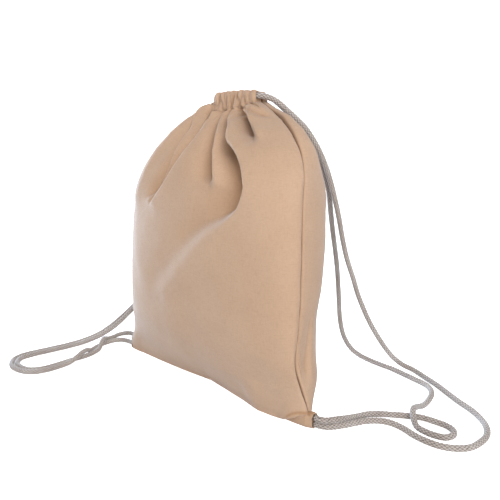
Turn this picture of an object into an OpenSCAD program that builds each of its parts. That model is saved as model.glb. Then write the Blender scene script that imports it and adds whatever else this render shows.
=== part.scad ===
// Drawstring backpack in cotton canvas: two panels sewn at the sides and the bottom,
// a gathered mouth with a casing on each panel, and two drawcords that serve as shoulder straps.
// Millimetres, +Z up, front towards -Y, +X to the bag's right as seen from the front.
// Origin: centre of the bag's footprint box at the surface it stands on.

/* [Bag] */
// Height from the surface to the top of the casing
bag_h = 386; // [360:1:420]
// Width along the bottom seam, corner to corner
bottom_w = 360; // [330:1:390]
// Depth of the filled front, ahead of the side seams
front_fill = 41; // [30:1:48]
// Depth of the filled back, behind the side seams
back_fill = 98; // [80:1:105]
// Thickness of the canvas as modelled
cloth_t = 1; // [0.8:0.1:1.4]

/* [Mouth] */
// Height of the drawstring casing
casing_h = 20; // [19:0.5:22]
// Width of the gathered mouth
mouth_w = 62; // [58:1:90]
// Depth of each casing, front to back
casing_d = 10.5; // [10.5:0.5:13]
// Free gap between the two casings
mouth_gap = 13; // [11:1:16]
// Number of gathers across each panel
gathers = 8; // [6:1:12]
// Depth of the gathers at the casing
gather_depth = 2.2; // [0:0.1:3]

/* [Cord] */
// Diameter of the drawcord
cord_d = 7; // [5:0.5:7]
// Slack of the cord in its tunnel, all round
tunnel_slack = 0.5; // [0.3:0.1:0.8]
// Height between the two cords in one casing
cord_pitch = 8; // [8:0.1:8.5]

// Slack left in each cord's turn when the mouth is drawn
cord_slack = 12; // [6:1:14]

/* [Corner tabs] */
// Length of the tab past the bottom corner
tab_out = 9; // [6:1:10]
// Height of the tab
tab_h = 17; // [17:1:24]
// Thickness of the folded tab
tab_t = 9.4; // [9.4:0.2:11]

/* [Seams] */
// Width of the seam allowance inside
allowance_w = 10; // [6:1:12]
// Thickness of the sewing thread
thread_d = 0.8; // [0.6:0.1:1]

/* [Hidden] */

canvas = [0.80, 0.66, 0.53];
hem = [0.77, 0.63, 0.50];
rope = [0.80, 0.76, 0.72];
sewing = [0.66, 0.52, 0.40];

panel_h = bag_h - casing_h;
y_shift = -24.5;          // from the bottom seam's line to the middle of the footprint box
mouth_x = 22;             // middle of the mouth, right of the middle of the bottom seam
mouth_y = 45;             // middle of the mouth, behind the line of the bottom seam
run_y = mouth_gap / 2 + casing_d / 2;
run_low = panel_h + (casing_h - cord_pitch) / 2;
run_high = run_low + cord_pitch;
cord_r = cord_d / 2;

// Outline keys: [height share, half width share, middle x, seam y, front depth share, back depth share]
KEYS = [
    [0.00, 1.000,  0,  0, 0.22, 0.49],
    [0.03, 0.990,  0,  0, 0.34, 0.60],
    [0.11, 0.955,  1, -2, 0.60, 0.74],
    [0.22, 0.925,  3, -6, 0.84, 0.86],
    [0.36, 0.900,  5, -6, 0.95, 0.93],
    [0.55, 0.880,  8, -4, 1.00, 0.98],
    [0.69, 0.855, 11, -2, 0.98, 0.96],
    [0.78, 0.815, 14,  4, 0.93, 0.83],
    [0.85, 0.735, 16, 12, 0.82, 0.66],
    [0.91, 0.600, 18, 22, 0.68, 0.48],
    [0.955, 0.460, 20, 32, 0.55, 0.34],
    [0.985, 0.330, 21, 40, 0.47, 0.25],
    [1.00, 0.200, 22, mouth_y, 0.40, 0.165]
];
// Squareness of the outline: [height share, front, back]
POWERS = [[0, 1.5, 1.5], [0.11, 2.0, 2.1], [0.3, 2.4, 2.8], [0.7, 2.4, 3.0], [0.9, 2.2, 2.6], [1, 2.2, 2.2]];

function sgn(v) = v < 0 ? -1 : 1;
function spot(t, f, i = 0) = i >= len(t) - 2 || f < t[i + 1][0] ? i : spot(t, f, i + 1);
function bend(a, b, c, d, u) = 0.5 * (2 * b + (c - a) * u + (2 * a - 5 * b + 4 * c - d) * u * u + (3 * b - a - 3 * c + d) * u * u * u);
// A smooth curve through one column of a table
function curve(t, col, f) =
    let (i = spot(t, f), b = t[i], c = t[i + 1], u = (f - b[0]) / (c[0] - b[0]),
         a = i > 0 ? t[i - 1][col] : b[col], d = i < len(t) - 2 ? t[i + 2][col] : c[col])
    bend(a, b[col], c[col], d, min(1, max(0, u)));
function half_w(f) = curve(KEYS, 1, f) * bottom_w / 2;
function mid_x(f) = curve(KEYS, 2, f);
function seam_y(f) = curve(KEYS, 3, f) + y_shift;
// side -1 is the front, +1 the back
function depth(f, side) = side < 0 ? curve(KEYS, 4, f) * front_fill : curve(KEYS, 5, f) * back_fill;
function power(f, side) = curve(POWERS, side < 0 ? 1 : 2, f);
function gather(f, share) = f < 0.78 ? 0 : gather_depth * pow((f - 0.78) / 0.22, 1.5) * cos(360 * gathers * share);

// A point of a panel's cloth: f is the height share, share runs from the left seam (0) to the right one (1), inset is how far inside the outer face
function cloth(f, share, side, inset) =
    let (a = 180 * (1 - share), n = power(f, side), c = cos(a), s = sin(a),
         edge = min(1, 8 * share, 8 * (1 - share)),
         g = gather(f, share) * edge,
         w = half_w(f) - inset, d = depth(f, side) - inset + g)
    [mid_x(f) + w * sgn(c) * pow(abs(c), 2 / n), seam_y(f) + side * d * pow(abs(s), 2 / n), max(inset, f * panel_h)];

ROWS = [0, 0.008, 0.022, 0.045, 0.075, 0.11, 0.16, 0.22, 0.29, 0.36, 0.45, 0.55, 0.62, 0.69, 0.74, 0.78, 0.82, 0.855, 0.885, 0.91, 0.935, 0.955, 0.97, 0.985, 1];
COLS = 45;

module panel(side) {
    rows = len(ROWS) + 1;
    cols = COLS + 1;
    // row 0 is the bottom seam's own line, on the surface
    function skin(inset) = [for (j = [0:rows - 1]) for (i = [0:COLS])
        let (p = cloth(ROWS[max(0, j - 1)], i / COLS, side, inset))
        j == 0 ? [p[0], y_shift, inset] : p];
    points = concat(skin(0), skin(cloth_t));
    n = rows * cols;
    function at(j, i) = j * cols + i;
    // the ends of rows 0 and 1 are one point, so those quads are triangles
    function quad(a, b, c, d) = [[a, b, c], [a, c, d]];
    grid = [for (j = [0:rows - 2]) for (i = [0:COLS - 1])
        each j == 0 && i == 0 ? [[at(1, 0), at(0, 1), at(1, 1)]]
           : j == 0 && i == COLS - 1 ? [[at(0, i), at(1, COLS), at(1, i)]]
           : quad(at(j, i), at(j, i + 1), at(j + 1, i + 1), at(j + 1, i))];
    outer = grid;
    inner = [for (t = grid) [for (k = [2:-1:0]) t[k] + n]];
    // rims: left side, right side, top, bottom seam
    rim_l = [for (j = [1:rows - 2]) each quad(at(j + 1, 0), at(j + 1, 0) + n, at(j, 0) + n, at(j, 0))];
    rim_r = [for (j = [1:rows - 2]) each quad(at(j, COLS), at(j, COLS) + n, at(j + 1, COLS) + n, at(j + 1, COLS))];
    rim_t = [for (i = [0:COLS - 1]) each quad(at(rows - 1, i + 1), at(rows - 1, i + 1) + n, at(rows - 1, i) + n, at(rows - 1, i))];
    function low(i) = i == 0 ? at(1, 0) : i == COLS ? at(1, COLS) : at(0, i);
    rim_b = [for (i = [0:COLS - 1]) each quad(low(i), low(i) + n, low(i + 1) + n, low(i + 1))];
    faces = concat(outer, inner, rim_l, rim_r, rim_t, rim_b);
    polyhedron(points, side < 0 ? [for (t = faces) [t[2], t[1], t[0]]] : faces, convexity = 6);
}

module front_panel() { color(canvas) panel(-1); }
module back_panel() { color(canvas) panel(1); }

// One casing: a hem with a flat tunnel for both cords, open towards the mouth near its ends where the cords turn
module casing(side) {
    y0 = side < 0 ? -casing_d : 0;
    r = 4;
    translate([mouth_x, mouth_y + y_shift + side * mouth_gap / 2, panel_h + 0.2])
    difference() {
        translate([-mouth_w / 2, 0, 0]) rotate([90, 0, 90]) linear_extrude(mouth_w) union() {
            translate([y0, r]) square([casing_d, casing_h - 2 * r - 0.2]);
            translate([y0 + r, 0]) square([casing_d - 2 * r, casing_h - 0.2]);
            for (y = [y0 + r, y0 + casing_d - r]) for (z = [r, casing_h - r - 0.2])
                translate([y, z]) circle(r, $fn = 48);
        }
        // tunnel
        for (z = [run_low, run_high]) translate([-mouth_w / 2 - 1, side * casing_d / 2, z - panel_h - 0.2])
            rotate([0, 90, 0]) cylinder(r = cord_r + tunnel_slack, h = mouth_w + 2, $fn = 48);
        translate([-mouth_w / 2 - 1, side * casing_d / 2 - cord_r - tunnel_slack, run_low - panel_h - 0.2])
            cube([mouth_w + 2, cord_d + 2 * tunnel_slack, cord_pitch]);
        // slots towards the mouth for the cords' turns: the upper cord turns at the left, the lower one at the right
        for (q = [[-mouth_w / 2 - 1, run_high], [mouth_w / 2 - run_y - 3 - cord_slack, run_low]])
            translate([q[0], side < 0 ? -casing_d / 2 : -1, q[1] - cord_r - tunnel_slack - panel_h - 0.2])
                cube([run_y + 4 + cord_slack, casing_d / 2 + 1, cord_d + 2 * tunnel_slack]);
        // gathers on the outer face
        for (k = [1:gathers]) translate([-mouth_w / 2 + (k - 0.5) * mouth_w / gathers, side * (casing_d + 0.3), -1])
            cylinder(r = 1.3, h = casing_h + 2, $fn = 24);
    }
}

module front_casing() { color(hem) casing(-1); }
module back_casing() { color(hem) casing(1); }

// The stretch of one drawcord inside the two casings. dir is +1 for the cord whose strands leave at the right
module cord_run(dir, z) {
    end = mouth_w / 2 + 1;          // where the strands take over
    turn = -(mouth_w / 2 - run_y);  // start of the turn at the other end
    color(rope) translate([mouth_x, mouth_y + y_shift, z]) scale1(dir) {
        for (s = [-1, 1]) translate([turn, s * run_y, 0]) rotate([0, 90, 0]) cylinder(r = cord_r, h = end - turn, $fn = 40);
        translate([turn, 0, 0]) rotate([0, 0, 90]) rotate_extrude(angle = 180, $fn = 96) translate([run_y, 0]) circle(cord_r, $fn = 40);
    }
}
module scale1(dir) { if (dir > 0) children(); else mirror([1, 0, 0]) children(); }

module right_cord_run() { cord_run(1, run_high); }
module left_cord_run() { cord_run(-1, run_low); }

// Tubes along a route
function unit(v) = v / norm(v);
function smooth_route(p) = [for (i = [0:len(p) - 2]) for (u = [0, 0.5])
        let (a = p[max(0, i - 1)], b = p[i], c = p[i + 1], d = p[min(len(p) - 1, i + 2)]) bend(a, b, c, d, u), p[len(p) - 1]];
function tangents(p) = [for (i = [0:len(p) - 1]) unit(p[min(len(p) - 1, i + 1)] - p[max(0, i - 1)])];
function square_off(v, t) = unit(v - (v * t) * t);
function frames(t, first) = [for (i = 0, v = square_off(first, t[0]); i < len(t); i = i + 1, v = i < len(t) ? square_off(v, t[i]) : v) v];
module tube(route, r, sides, first, flat_ends = [undef, undef]) {
    p = smooth_route(route);
    t0 = tangents(p);
    t = [for (i = [0:len(p) - 1]) i == 0 && !is_undef(flat_ends[0]) ? flat_ends[0] : i == len(p) - 1 && !is_undef(flat_ends[1]) ? flat_ends[1] : t0[i]];
    n = frames(t, first);
    k = len(p);
    points = [for (i = [0:k - 1]) for (j = [0:sides - 1]) p[i] + r * (cos(360 * j / sides) * n[i] + sin(360 * j / sides) * cross(t[i], n[i]))];
    faces = concat(
        [[for (j = [0:sides - 1]) j]],
        [for (i = [0:k - 2]) for (j = [0:sides - 1]) let (a = i * sides + j, b = i * sides + (j + 1) % sides) each [[a, a + sides, b + sides], [a, b + sides, b]]],
        [[for (j = [sides - 1:-1:0]) (k - 1) * sides + j]]);
    polyhedron(points, faces, convexity = 10);
}

// Routes of the four free strands, from the casing to the corner tab, before the shift to the footprint's middle
right_exit = mouth_x + mouth_w / 2 + 1.2;
left_exit = mouth_x - mouth_w / 2 - 1.2;
lie = cord_r + 0.1;
TAB_Z = [4.8, 12.1];      // heights of the two cord ends in a tab
tab_mouth = bottom_w / 2 + tab_out + 0.3;

RIGHT_FRONT = [
    [right_exit, mouth_y - run_y, run_high], [62, 38, 380], [68, 50, 377], [73, 60, 371], [79, 69, 362], [85, 78, 353], [91, 87, 343],
    [96, 94, 332], [102, 103, 315], [107, 112, 294], [111, 120, 270], [115, 131, 232], [118, 140, 194], [121, 147, 168], [126, 155, 142],
    [130, 163, 117], [135, 172, 94], [140, 181, 74], [146, 190, 56], [153, 200, 38], [161, 210, 22], [172, 220, 10], [188, 224, 5],
    [210, 217, lie], [233, 207, lie], [254, 194, lie], [275, 179, lie], [296, 165, lie], [314, 150, lie], [326, 134, lie], [332, 116, lie],
    [332, 98, lie], [329, 83, lie], [322, 73, lie], [313, 66, lie], [303, 62, lie], [289, 61, lie], [274, 63, lie], [258, 68, lie],
    [243, 69, lie], [230, 64, lie], [219, 52, lie], [213, 40, lie], [209, 28, lie], [205, 15, lie], [199, 5, 4], [tab_mouth, 1.5, TAB_Z[0]]];
RIGHT_BACK = [
    [right_exit, mouth_y + run_y, run_high], [60, 60, 378], [65, 67, 372], [70, 73, 365], [76, 80, 357], [82, 87, 349], [88, 95, 338],
    [93, 103, 324], [97, 111, 306], [100, 119, 286], [101, 128, 262], [99, 136, 235], [97, 145, 205], [96, 154, 175], [94, 163, 145],
    [92, 171, 108], [90, 179, 70], [91, 188, 42], [97, 200, 20], [108, 210, 8], [124, 213, 4], [142, 211, lie], [162, 209, lie],
    [183, 204, lie], [202, 199, lie], [220, 194, lie], [232, 186, lie], [241, 172, lie], [246, 154, lie], [248, 136, lie], [248, 118, 8],
    [251, 104, 11.2], [257, 93, 8], [267, 83, lie], [279, 79, lie], [291, 79, lie], [301, 83, lie], [305, 93, lie], [301, 103, lie],
    [291, 108, lie], [277, 108, lie], [262, 106, lie], [249, 99, lie], [235, 89, lie], [222, 79, lie], [212, 68, lie], [206, 55, lie],
    [203, 41, 5], [203, 28, 8.5], [203, 15, 11.5], [198, 5, 12], [tab_mouth, 1.5, TAB_Z[1]]];
LEFT_FRONT = [
    [left_exit, mouth_y - run_y, run_low], [-20, 37, 371], [-33, 46, 368], [-47, 57, 361], [-60, 70, 350], [-74, 80, 338], [-88, 89, 322],
    [-103, 97, 302], [-118, 103, 278], [-133, 106, 250], [-148, 106, 220], [-164, 101, 188], [-180, 92, 156], [-196, 79, 124],
    [-211, 63, 94], [-227, 43, 64], [-240, 22, 38], [-247, 0, 20], [-250, -24, 10], [-252, -51, 5], [-254.5, -80, lie],
    [-257.5, -108, lie], [-260, -132, lie], [-260, -148, lie], [-256, -157, lie], [-248, -164, lie], [-237, -168, lie], [-221, -168, lie],
    [-208, -164, lie], [-200, -156, lie], [-196, -146, lie], [-195, -132, lie], [-196.5, -112, lie], [-197.5, -98, lie], [-197, -86, lie],
    [-198, -75, lie], [-202, -63, lie], [-208, -52, 4], [-213, -46, 7], [-219, -40, 10.5], [-226, -33, 11.4], [-233, -26, 9],
    [-238, -17, 5], [-243, -5, lie], [-247, 8, lie], [-245, 20, lie], [-235, 27, lie], [-221, 25, 4], [-209, 17, 6], [-199, 7, 11],
    [-tab_mouth, 1.5, TAB_Z[1]]];
LEFT_BACK = [
    [left_exit, mouth_y + run_y, run_low], [-20, 60, 370], [-34, 66, 366], [-48, 74, 359], [-62, 83, 348], [-76, 92, 335], [-91, 101, 318],
    [-106, 108, 298], [-121, 113, 274], [-136, 115, 247], [-152, 114, 217], [-168, 109, 186], [-185, 100, 155], [-202, 86, 124],
    [-218, 69, 94], [-234, 48, 65], [-248, 25, 39], [-255, 1, 21], [-258, -24, 10], [-260, -51, 5], [-262, -80, lie],
    [-265, -108, lie], [-268, -133, lie], [-268, -150, lie], [-262, -163, lie], [-251, -171, lie], [-237, -176, lie], [-221, -176, lie],
    [-204, -171, lie], [-193, -161, lie], [-188, -148, lie], [-187, -132, lie], [-188, -112, 4.5], [-190, -98, 9], [-196, -86, 11.4],
    [-203, -75, 10], [-210, -65, 5], [-217, -55, lie], [-222, -45, lie], [-225.5, -35, lie], [-227, -24, lie], [-226, -12, lie],
    [-220, -3, lie], [-211, 1, lie], [-200, 2, 4], [-tab_mouth, 1.5, TAB_Z[0]]];

module strand(route, ends) {
    color(rope) translate([0, y_shift, 0]) tube(route, cord_r, 8, [0.1, 0.2, 1], ends);
}
module right_strand_front() { strand(RIGHT_FRONT, [[1, 0, 0], [-1, 0, 0]]); }
module right_strand_back() { strand(RIGHT_BACK, [[1, 0, 0], [-1, 0, 0]]); }
module left_strand_front() { strand(LEFT_FRONT, [[-1, 0, 0], [1, 0, 0]]); }
module left_strand_back() { strand(LEFT_BACK, [[-1, 0, 0], [1, 0, 0]]); }

// Folded canvas loop at a bottom corner, which holds the two ends of one cord
module corner_tab(dir) {
    x0 = bottom_w / 2 + 0.4;
    color(hem) translate([0, y_shift, 0]) scale1(dir) difference() {
        translate([x0, tab_t / 2 + 1.5, 0]) rotate([90, 0, 0]) linear_extrude(tab_t) polygon([
            [0, 0], [tab_out - 0.4, 0], [tab_out - 0.4, tab_h - 3], [tab_out - 3, tab_h], [0, tab_h]]);
        for (z = TAB_Z) translate([x0 + 3, 1.5, z]) rotate([0, 90, 0]) cylinder(r = cord_r + 0.1, h = tab_out, $fn = 40);
    }
}
module right_corner_tab() { corner_tab(1); }
module left_corner_tab() { corner_tab(-1); }

// The two ends of one cord, caught inside the tab
module cord_ends(dir) {
    color(rope) translate([0, y_shift, 0]) scale1(dir) for (z = TAB_Z)
        translate([bottom_w / 2 + 3.6, 1.5, z]) rotate([0, 90, 0]) cylinder(r = cord_r, h = tab_out - 3.4, $fn = 40);
}
module right_cord_ends() { cord_ends(1); }
module left_cord_ends() { cord_ends(-1); }

// Bar tack that closes the tab over the cord ends, as five close stitches on its front face
module bartack(dir) {
    color(sewing) translate([0, y_shift, 0]) scale1(dir) for (k = [0:4])
        translate([bottom_w / 2 + 1.2 + k * 1.4, 1.5 - tab_t / 2 - thread_d - 0.05, 3])
            cube([thread_d, thread_d, tab_h - 7]);
}
module right_bartack() { bartack(1); }
module left_bartack() { bartack(-1); }

// Seam allowance inside a side seam: a strip that follows the seam's curve
SEAM_ROWS = [0.09, 0.12, 0.18, 0.26, 0.36, 0.46, 0.56, 0.66, 0.74, 0.80, 0.85, 0.89, 0.92, 0.945];
module side_strip(dir, near, far, y0, y1) {
    k = len(SEAM_ROWS);
    function edge(f, into) = mid_x(f) + dir * (half_w(f) - cloth_t - into);
    points = [for (f = SEAM_ROWS) each [
        [edge(f, near), seam_y(f) + y0, f * panel_h], [edge(f, near), seam_y(f) + y1, f * panel_h],
        [edge(f, far), seam_y(f) + y1, f * panel_h], [edge(f, far), seam_y(f) + y0, f * panel_h]]];
    faces = concat([[0, 1, 2, 3]],
        [for (j = [0:k - 2]) for (i = [0:3]) let (a = j * 4 + i, b = j * 4 + (i + 1) % 4) each [[a, a + 4, b + 4], [a, b + 4, b]]],
        [[for (i = [3:-1:0]) (k - 1) * 4 + i]]);
    polyhedron(points, dir > 0 ? [for (t = faces) [for (i = [len(t) - 1:-1:0]) t[i]]] : faces, convexity = 6);
}
module right_seam_allowance() { color(hem) side_strip(1, 0.5, 0.5 + allowance_w, -1, 1); }
module left_seam_allowance() { color(hem) side_strip(-1, 0.5, 0.5 + allowance_w, -1, 1); }
module right_seam_thread() { color(sewing) side_strip(1, 3, 3 + thread_d, -1.2 - thread_d, -1.2); }
module left_seam_thread() { color(sewing) side_strip(-1, 3, 3 + thread_d, -1.2 - thread_d, -1.2); }

// Seam allowance along the bottom, folded flat towards the back
module bottom_seam_allowance() {
    color(hem) translate([-bottom_w / 2 + 25, y_shift + 1, cloth_t + 0.3]) cube([bottom_w - 50, allowance_w, 1.6]);
}
module bottom_seam_thread() {
    color(sewing) translate([-bottom_w / 2 + 25, y_shift + 3.5, cloth_t + 2.1]) cube([bottom_w - 50, thread_d, thread_d]);
}

// Row of casing stitches, as separate stitches along the lower edge of the casing
module casing_thread(side) {
    count = 2 * gathers;
    color(sewing) for (k = [0:count - 1])
        translate([mouth_x - mouth_w / 2 + 2 + k * (mouth_w - 6.5) / (count - 1), mouth_y + y_shift + side * (mouth_gap / 2 + casing_d + 0.1) - (side < 0 ? thread_d : 0), panel_h + 1])
            cube([2.5, thread_d, thread_d]);
}
module front_casing_thread() { casing_thread(-1); }
module back_casing_thread() { casing_thread(1); }

front_panel();
back_panel();
front_casing();
back_casing();
right_cord_run();
left_cord_run();
right_strand_front();
right_strand_back();
left_strand_front();
left_strand_back();
right_corner_tab();
left_corner_tab();
right_cord_ends();
left_cord_ends();
right_bartack();
left_bartack();
right_seam_allowance();
left_seam_allowance();
bottom_seam_allowance();
right_seam_thread();
left_seam_thread();
bottom_seam_thread();
front_casing_thread();
back_casing_thread();
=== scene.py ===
import math
import bpy
import bmesh
import numpy as np
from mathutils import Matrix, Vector, noise


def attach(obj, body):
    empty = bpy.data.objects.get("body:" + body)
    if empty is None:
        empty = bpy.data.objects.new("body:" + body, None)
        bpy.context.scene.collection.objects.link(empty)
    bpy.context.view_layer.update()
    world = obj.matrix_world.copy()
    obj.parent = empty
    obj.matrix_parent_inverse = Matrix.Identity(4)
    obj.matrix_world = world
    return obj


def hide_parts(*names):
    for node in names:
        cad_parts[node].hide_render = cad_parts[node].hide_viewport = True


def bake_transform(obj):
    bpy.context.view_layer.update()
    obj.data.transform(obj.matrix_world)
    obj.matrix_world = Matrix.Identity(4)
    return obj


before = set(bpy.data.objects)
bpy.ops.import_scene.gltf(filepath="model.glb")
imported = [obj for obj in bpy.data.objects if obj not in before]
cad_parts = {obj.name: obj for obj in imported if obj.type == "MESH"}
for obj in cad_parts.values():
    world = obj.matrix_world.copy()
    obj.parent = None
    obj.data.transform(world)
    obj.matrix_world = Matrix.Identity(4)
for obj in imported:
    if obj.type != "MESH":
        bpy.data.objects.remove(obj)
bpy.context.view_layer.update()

MM = 0.001
Y_SHIFT = -24.5          # from the bottom seam's line to the row frame
PANEL_H = 366.0
CORD_R = 3.5
rng = np.random.default_rng(7)


def row(p):
    """Seam-frame millimetres to row-frame metres."""
    p = np.asarray(p, float)
    return (p + np.array([0, Y_SHIFT, 0])) * MM


# ---------------------------------------------------------------- camera
cam = bpy.data.objects.new("camera", bpy.data.cameras.new("camera"))
bpy.context.scene.collection.objects.link(cam)
cam.location = (0.5238, -0.4677, 0.310)
cam.rotation_euler = (math.radians(90 - 10.4), 0, math.radians(45))
cam.data.lens, cam.data.sensor_width = 37.8, 36
cam.data.clip_start, cam.data.clip_end = 0.01, 50
bpy.context.scene.camera = cam


# ---------------------------------------------------------------- mesh helpers
def new_mesh(name, verts, faces, uvs=None, smooth=True):
    me = bpy.data.meshes.new(name)
    me.from_pydata([tuple(v) for v in np.asarray(verts)], [], [tuple(int(i) for i in f) for f in faces])
    if uvs is not None:
        layer = me.uv_layers.new(name="UVMap")
        idx = np.zeros(len(me.loops), np.int32)
        me.loops.foreach_get("vertex_index", idx)
        layer.data.foreach_set("uv", np.asarray(uvs, np.float32)[idx].ravel())
    me.validate()
    ob = bpy.data.objects.new(name, me)
    bpy.context.scene.collection.objects.link(ob)
    if smooth:
        me.polygons.foreach_set("use_smooth", [True] * len(me.polygons))
    return ob


def tag(ob, name, values):
    layer = ob.data.attributes.new(name, "FLOAT", "POINT")
    layer.data.foreach_set("value", np.ascontiguousarray(values, dtype=np.float32))


def apply_modifiers(ob):
    dg = bpy.context.evaluated_depsgraph_get()
    me = bpy.data.meshes.new_from_object(ob.evaluated_get(dg), preserve_all_data_layers=True, depsgraph=dg)
    ob.modifiers.clear()
    ob.data = me
    return ob


def weld(ob, dist=1e-6):
    bm = bmesh.new()
    bm.from_mesh(ob.data)
    bmesh.ops.remove_doubles(bm, verts=bm.verts, dist=dist)
    bmesh.ops.dissolve_degenerate(bm, edges=bm.edges, dist=dist)
    bm.to_mesh(ob.data)
    bm.free()
    return ob


def catmull(points, per):
    """Catmull-Rom through points, per samples a span."""
    p = np.asarray(points, float)
    out = []
    for i in range(len(p) - 1):
        a, b, c, d = p[max(0, i - 1)], p[i], p[i + 1], p[min(len(p) - 1, i + 2)]
        for u in np.arange(per) / per:
            out.append(0.5 * (2 * b + (c - a) * u + (2 * a - 5 * b + 4 * c - d) * u * u + (3 * b - a - 3 * c + d) * u ** 3))
    out.append(p[-1])
    return np.array(out)


def even(line, step):
    """The same line with points an even step apart."""
    d = np.r_[0, np.cumsum(np.linalg.norm(np.diff(line, axis=0), axis=1))]
    n = max(2, int(round(d[-1] / step)) + 1)
    t = np.linspace(0, d[-1], n)
    return np.stack([np.interp(t, d, line[:, k]) for k in range(3)], 1), t


def line_frames(line, first, ends=(None, None)):
    t = np.gradient(line, axis=0)
    t /= np.linalg.norm(t, axis=1, keepdims=True)
    for k, e in ((0, ends[0]), (-1, ends[1])):
        if e is not None:
            t[k] = e
    n = np.zeros_like(line)
    v = np.array(first, float)
    for i in range(len(line)):
        v = v - (v @ t[i]) * t[i]
        v /= np.linalg.norm(v)
        n[i] = v
    return t, n, np.cross(t, n)


# ---------------------------------------------------------------- braided cord
def braid_height(theta, s, carriers=6, lay=29.0):
    """Over-and-under relief of a round braid, 0 between yarns to 1 on a crown. s in mm."""
    a = (carriers * theta + carriers * 2 * math.pi * s / lay) / (2 * math.pi)
    b = (carriers * theta - carriers * 2 * math.pi * s / lay) / (2 * math.pi)
    ia, ib = np.floor(a + 0.5), np.floor(b + 0.5)
    fa, fb = a - ia, b - ib
    over = (ia + ib) % 2 == 0
    x, y = np.where(over, fa, fb), np.where(over, fb, fa)
    return np.cos(math.pi * x) ** 0.8 * (0.5 + 0.5 * np.cos(math.pi * y) ** 0.6)


def cord_mesh(name, line_mm, first=(0.1, 0.2, 1), ends=(None, None), step=0.75, sides=36, radius=CORD_R, capped=True, seed=1):
    """A braided cotton cord along a line in seam-frame millimetres. Returns the object and its ring centres in metres."""
    line, s = even(line_mm, step)
    t, n, b = line_frames(line, first, ends)
    th = np.linspace(0, 2 * math.pi, sides, endpoint=False)
    rel = braid_height(th[None, :], s[:, None])
    swell = np.array([noise.noise(Vector((x / 17.0, seed * 3.1, 0))) for x in s])
    r = radius - 0.72 + 1.02 * rel + 0.12 * swell[:, None]
    P = line[:, None] + r[..., None] * (np.cos(th)[None, :, None] * n[:, None] + np.sin(th)[None, :, None] * b[:, None])
    k = len(line)
    verts = row(P.reshape(-1, 3))
    faces = [(i * sides + j, i * sides + (j + 1) % sides, (i + 1) * sides + (j + 1) % sides, (i + 1) * sides + j) for i in range(k - 1) for j in range(sides)]
    u = np.repeat(s, sides) * MM
    v = np.tile(th / (2 * math.pi) * 0.022, k)
    uvs = np.stack([u, v], 1)
    if capped:
        verts = np.vstack([verts, row(line[0]), row(line[-1])])
        uvs = np.vstack([uvs, [u[0], 0], [u[-1], 0]])
        c0, c1 = k * sides, k * sides + 1
        faces += [(c0, (j + 1) % sides, j) for j in range(sides)]
        faces += [(c1, (k - 1) * sides + j, (k - 1) * sides + (j + 1) % sides) for j in range(sides)]
    ob = new_mesh(name, verts, faces, uvs)
    # the braid height, which the rope material also uses for painted shade between the yarns and painted light on their
    # crowns
    lift = ob.data.attributes.new("lift", "FLOAT", "POINT")
    lift.data.foreach_set("value", np.r_[rel.ravel(), [0.5] * (len(verts) - k * sides)].astype(np.float32))
    return ob, row(line)


LIE = 3.6
T0, T1 = 5.6, 12.9
RIGHT_FRONT = [
    [54.2, 33.25, 380], [62, 38, 380], [68, 50, 377], [73, 60, 371], [79, 69, 362], [85, 78, 353], [91, 87, 343],
    [96, 94, 332], [102, 103, 315], [107, 112, 294], [111, 120, 270], [115, 131, 232], [118, 140, 194], [121, 147, 168], [126, 155, 142],
    [130, 163, 117], [135, 172, 94], [140, 181, 74], [146, 190, 56], [153, 200, 38], [161, 210, 22], [172, 220, 10], [188, 224, 5],
    [210, 215, LIE], [231.5, 204, LIE], [252, 191, LIE], [274, 177, LIE], [296, 165, LIE], [314, 150, LIE], [326, 134, LIE], [332, 116, LIE],
    [332, 98, LIE], [329, 83, LIE], [322, 73, LIE], [313, 66, LIE], [303, 62, LIE], [289, 61, LIE], [274, 63, LIE], [258, 68, LIE],
    [243, 69, LIE], [230, 64, LIE], [219, 52, LIE], [213, 40, LIE], [208, 28, 4.0], [202.5, 16, 4.5], [196.5, 7, 5.2], [189.3, 2.5, T0]]
RIGHT_BACK = [
    [54.2, 56.75, 380], [60, 60, 378], [65, 67, 372], [70, 73, 365], [76, 80, 357], [82, 87, 349], [88, 95, 338],
    [93, 103, 324], [97, 111, 306], [100, 119, 286], [101, 128, 262], [99, 136, 235], [97, 145, 205], [96, 154, 175], [94, 163, 145],
    [92, 171, 108], [90, 179, 70], [91, 188, 42], [97, 200, 20], [108, 210, 8], [124, 213, 4], [142, 211, LIE], [162, 209, LIE],
    [183, 204, LIE], [202, 199, LIE], [220, 194, LIE], [232, 186, LIE], [241, 172, LIE], [246, 154, LIE], [248, 136, LIE], [248, 118, 8],
    [251, 104, 11.2], [257, 93, 8], [267, 83, LIE], [279, 79, LIE], [291, 79, LIE], [301, 83, LIE], [305, 93, LIE], [301, 103, LIE],
    [291, 108, LIE], [277, 108, LIE], [262, 106, LIE], [249, 99, LIE], [235, 89, LIE], [222, 79, LIE], [212, 68, LIE], [206, 55, LIE],
    [204.5, 41, 6.5], [203.5, 28, 9.8], [200.5, 17, 11.6], [196, 7, 12.3], [189.3, 2.5, T1]]
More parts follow.
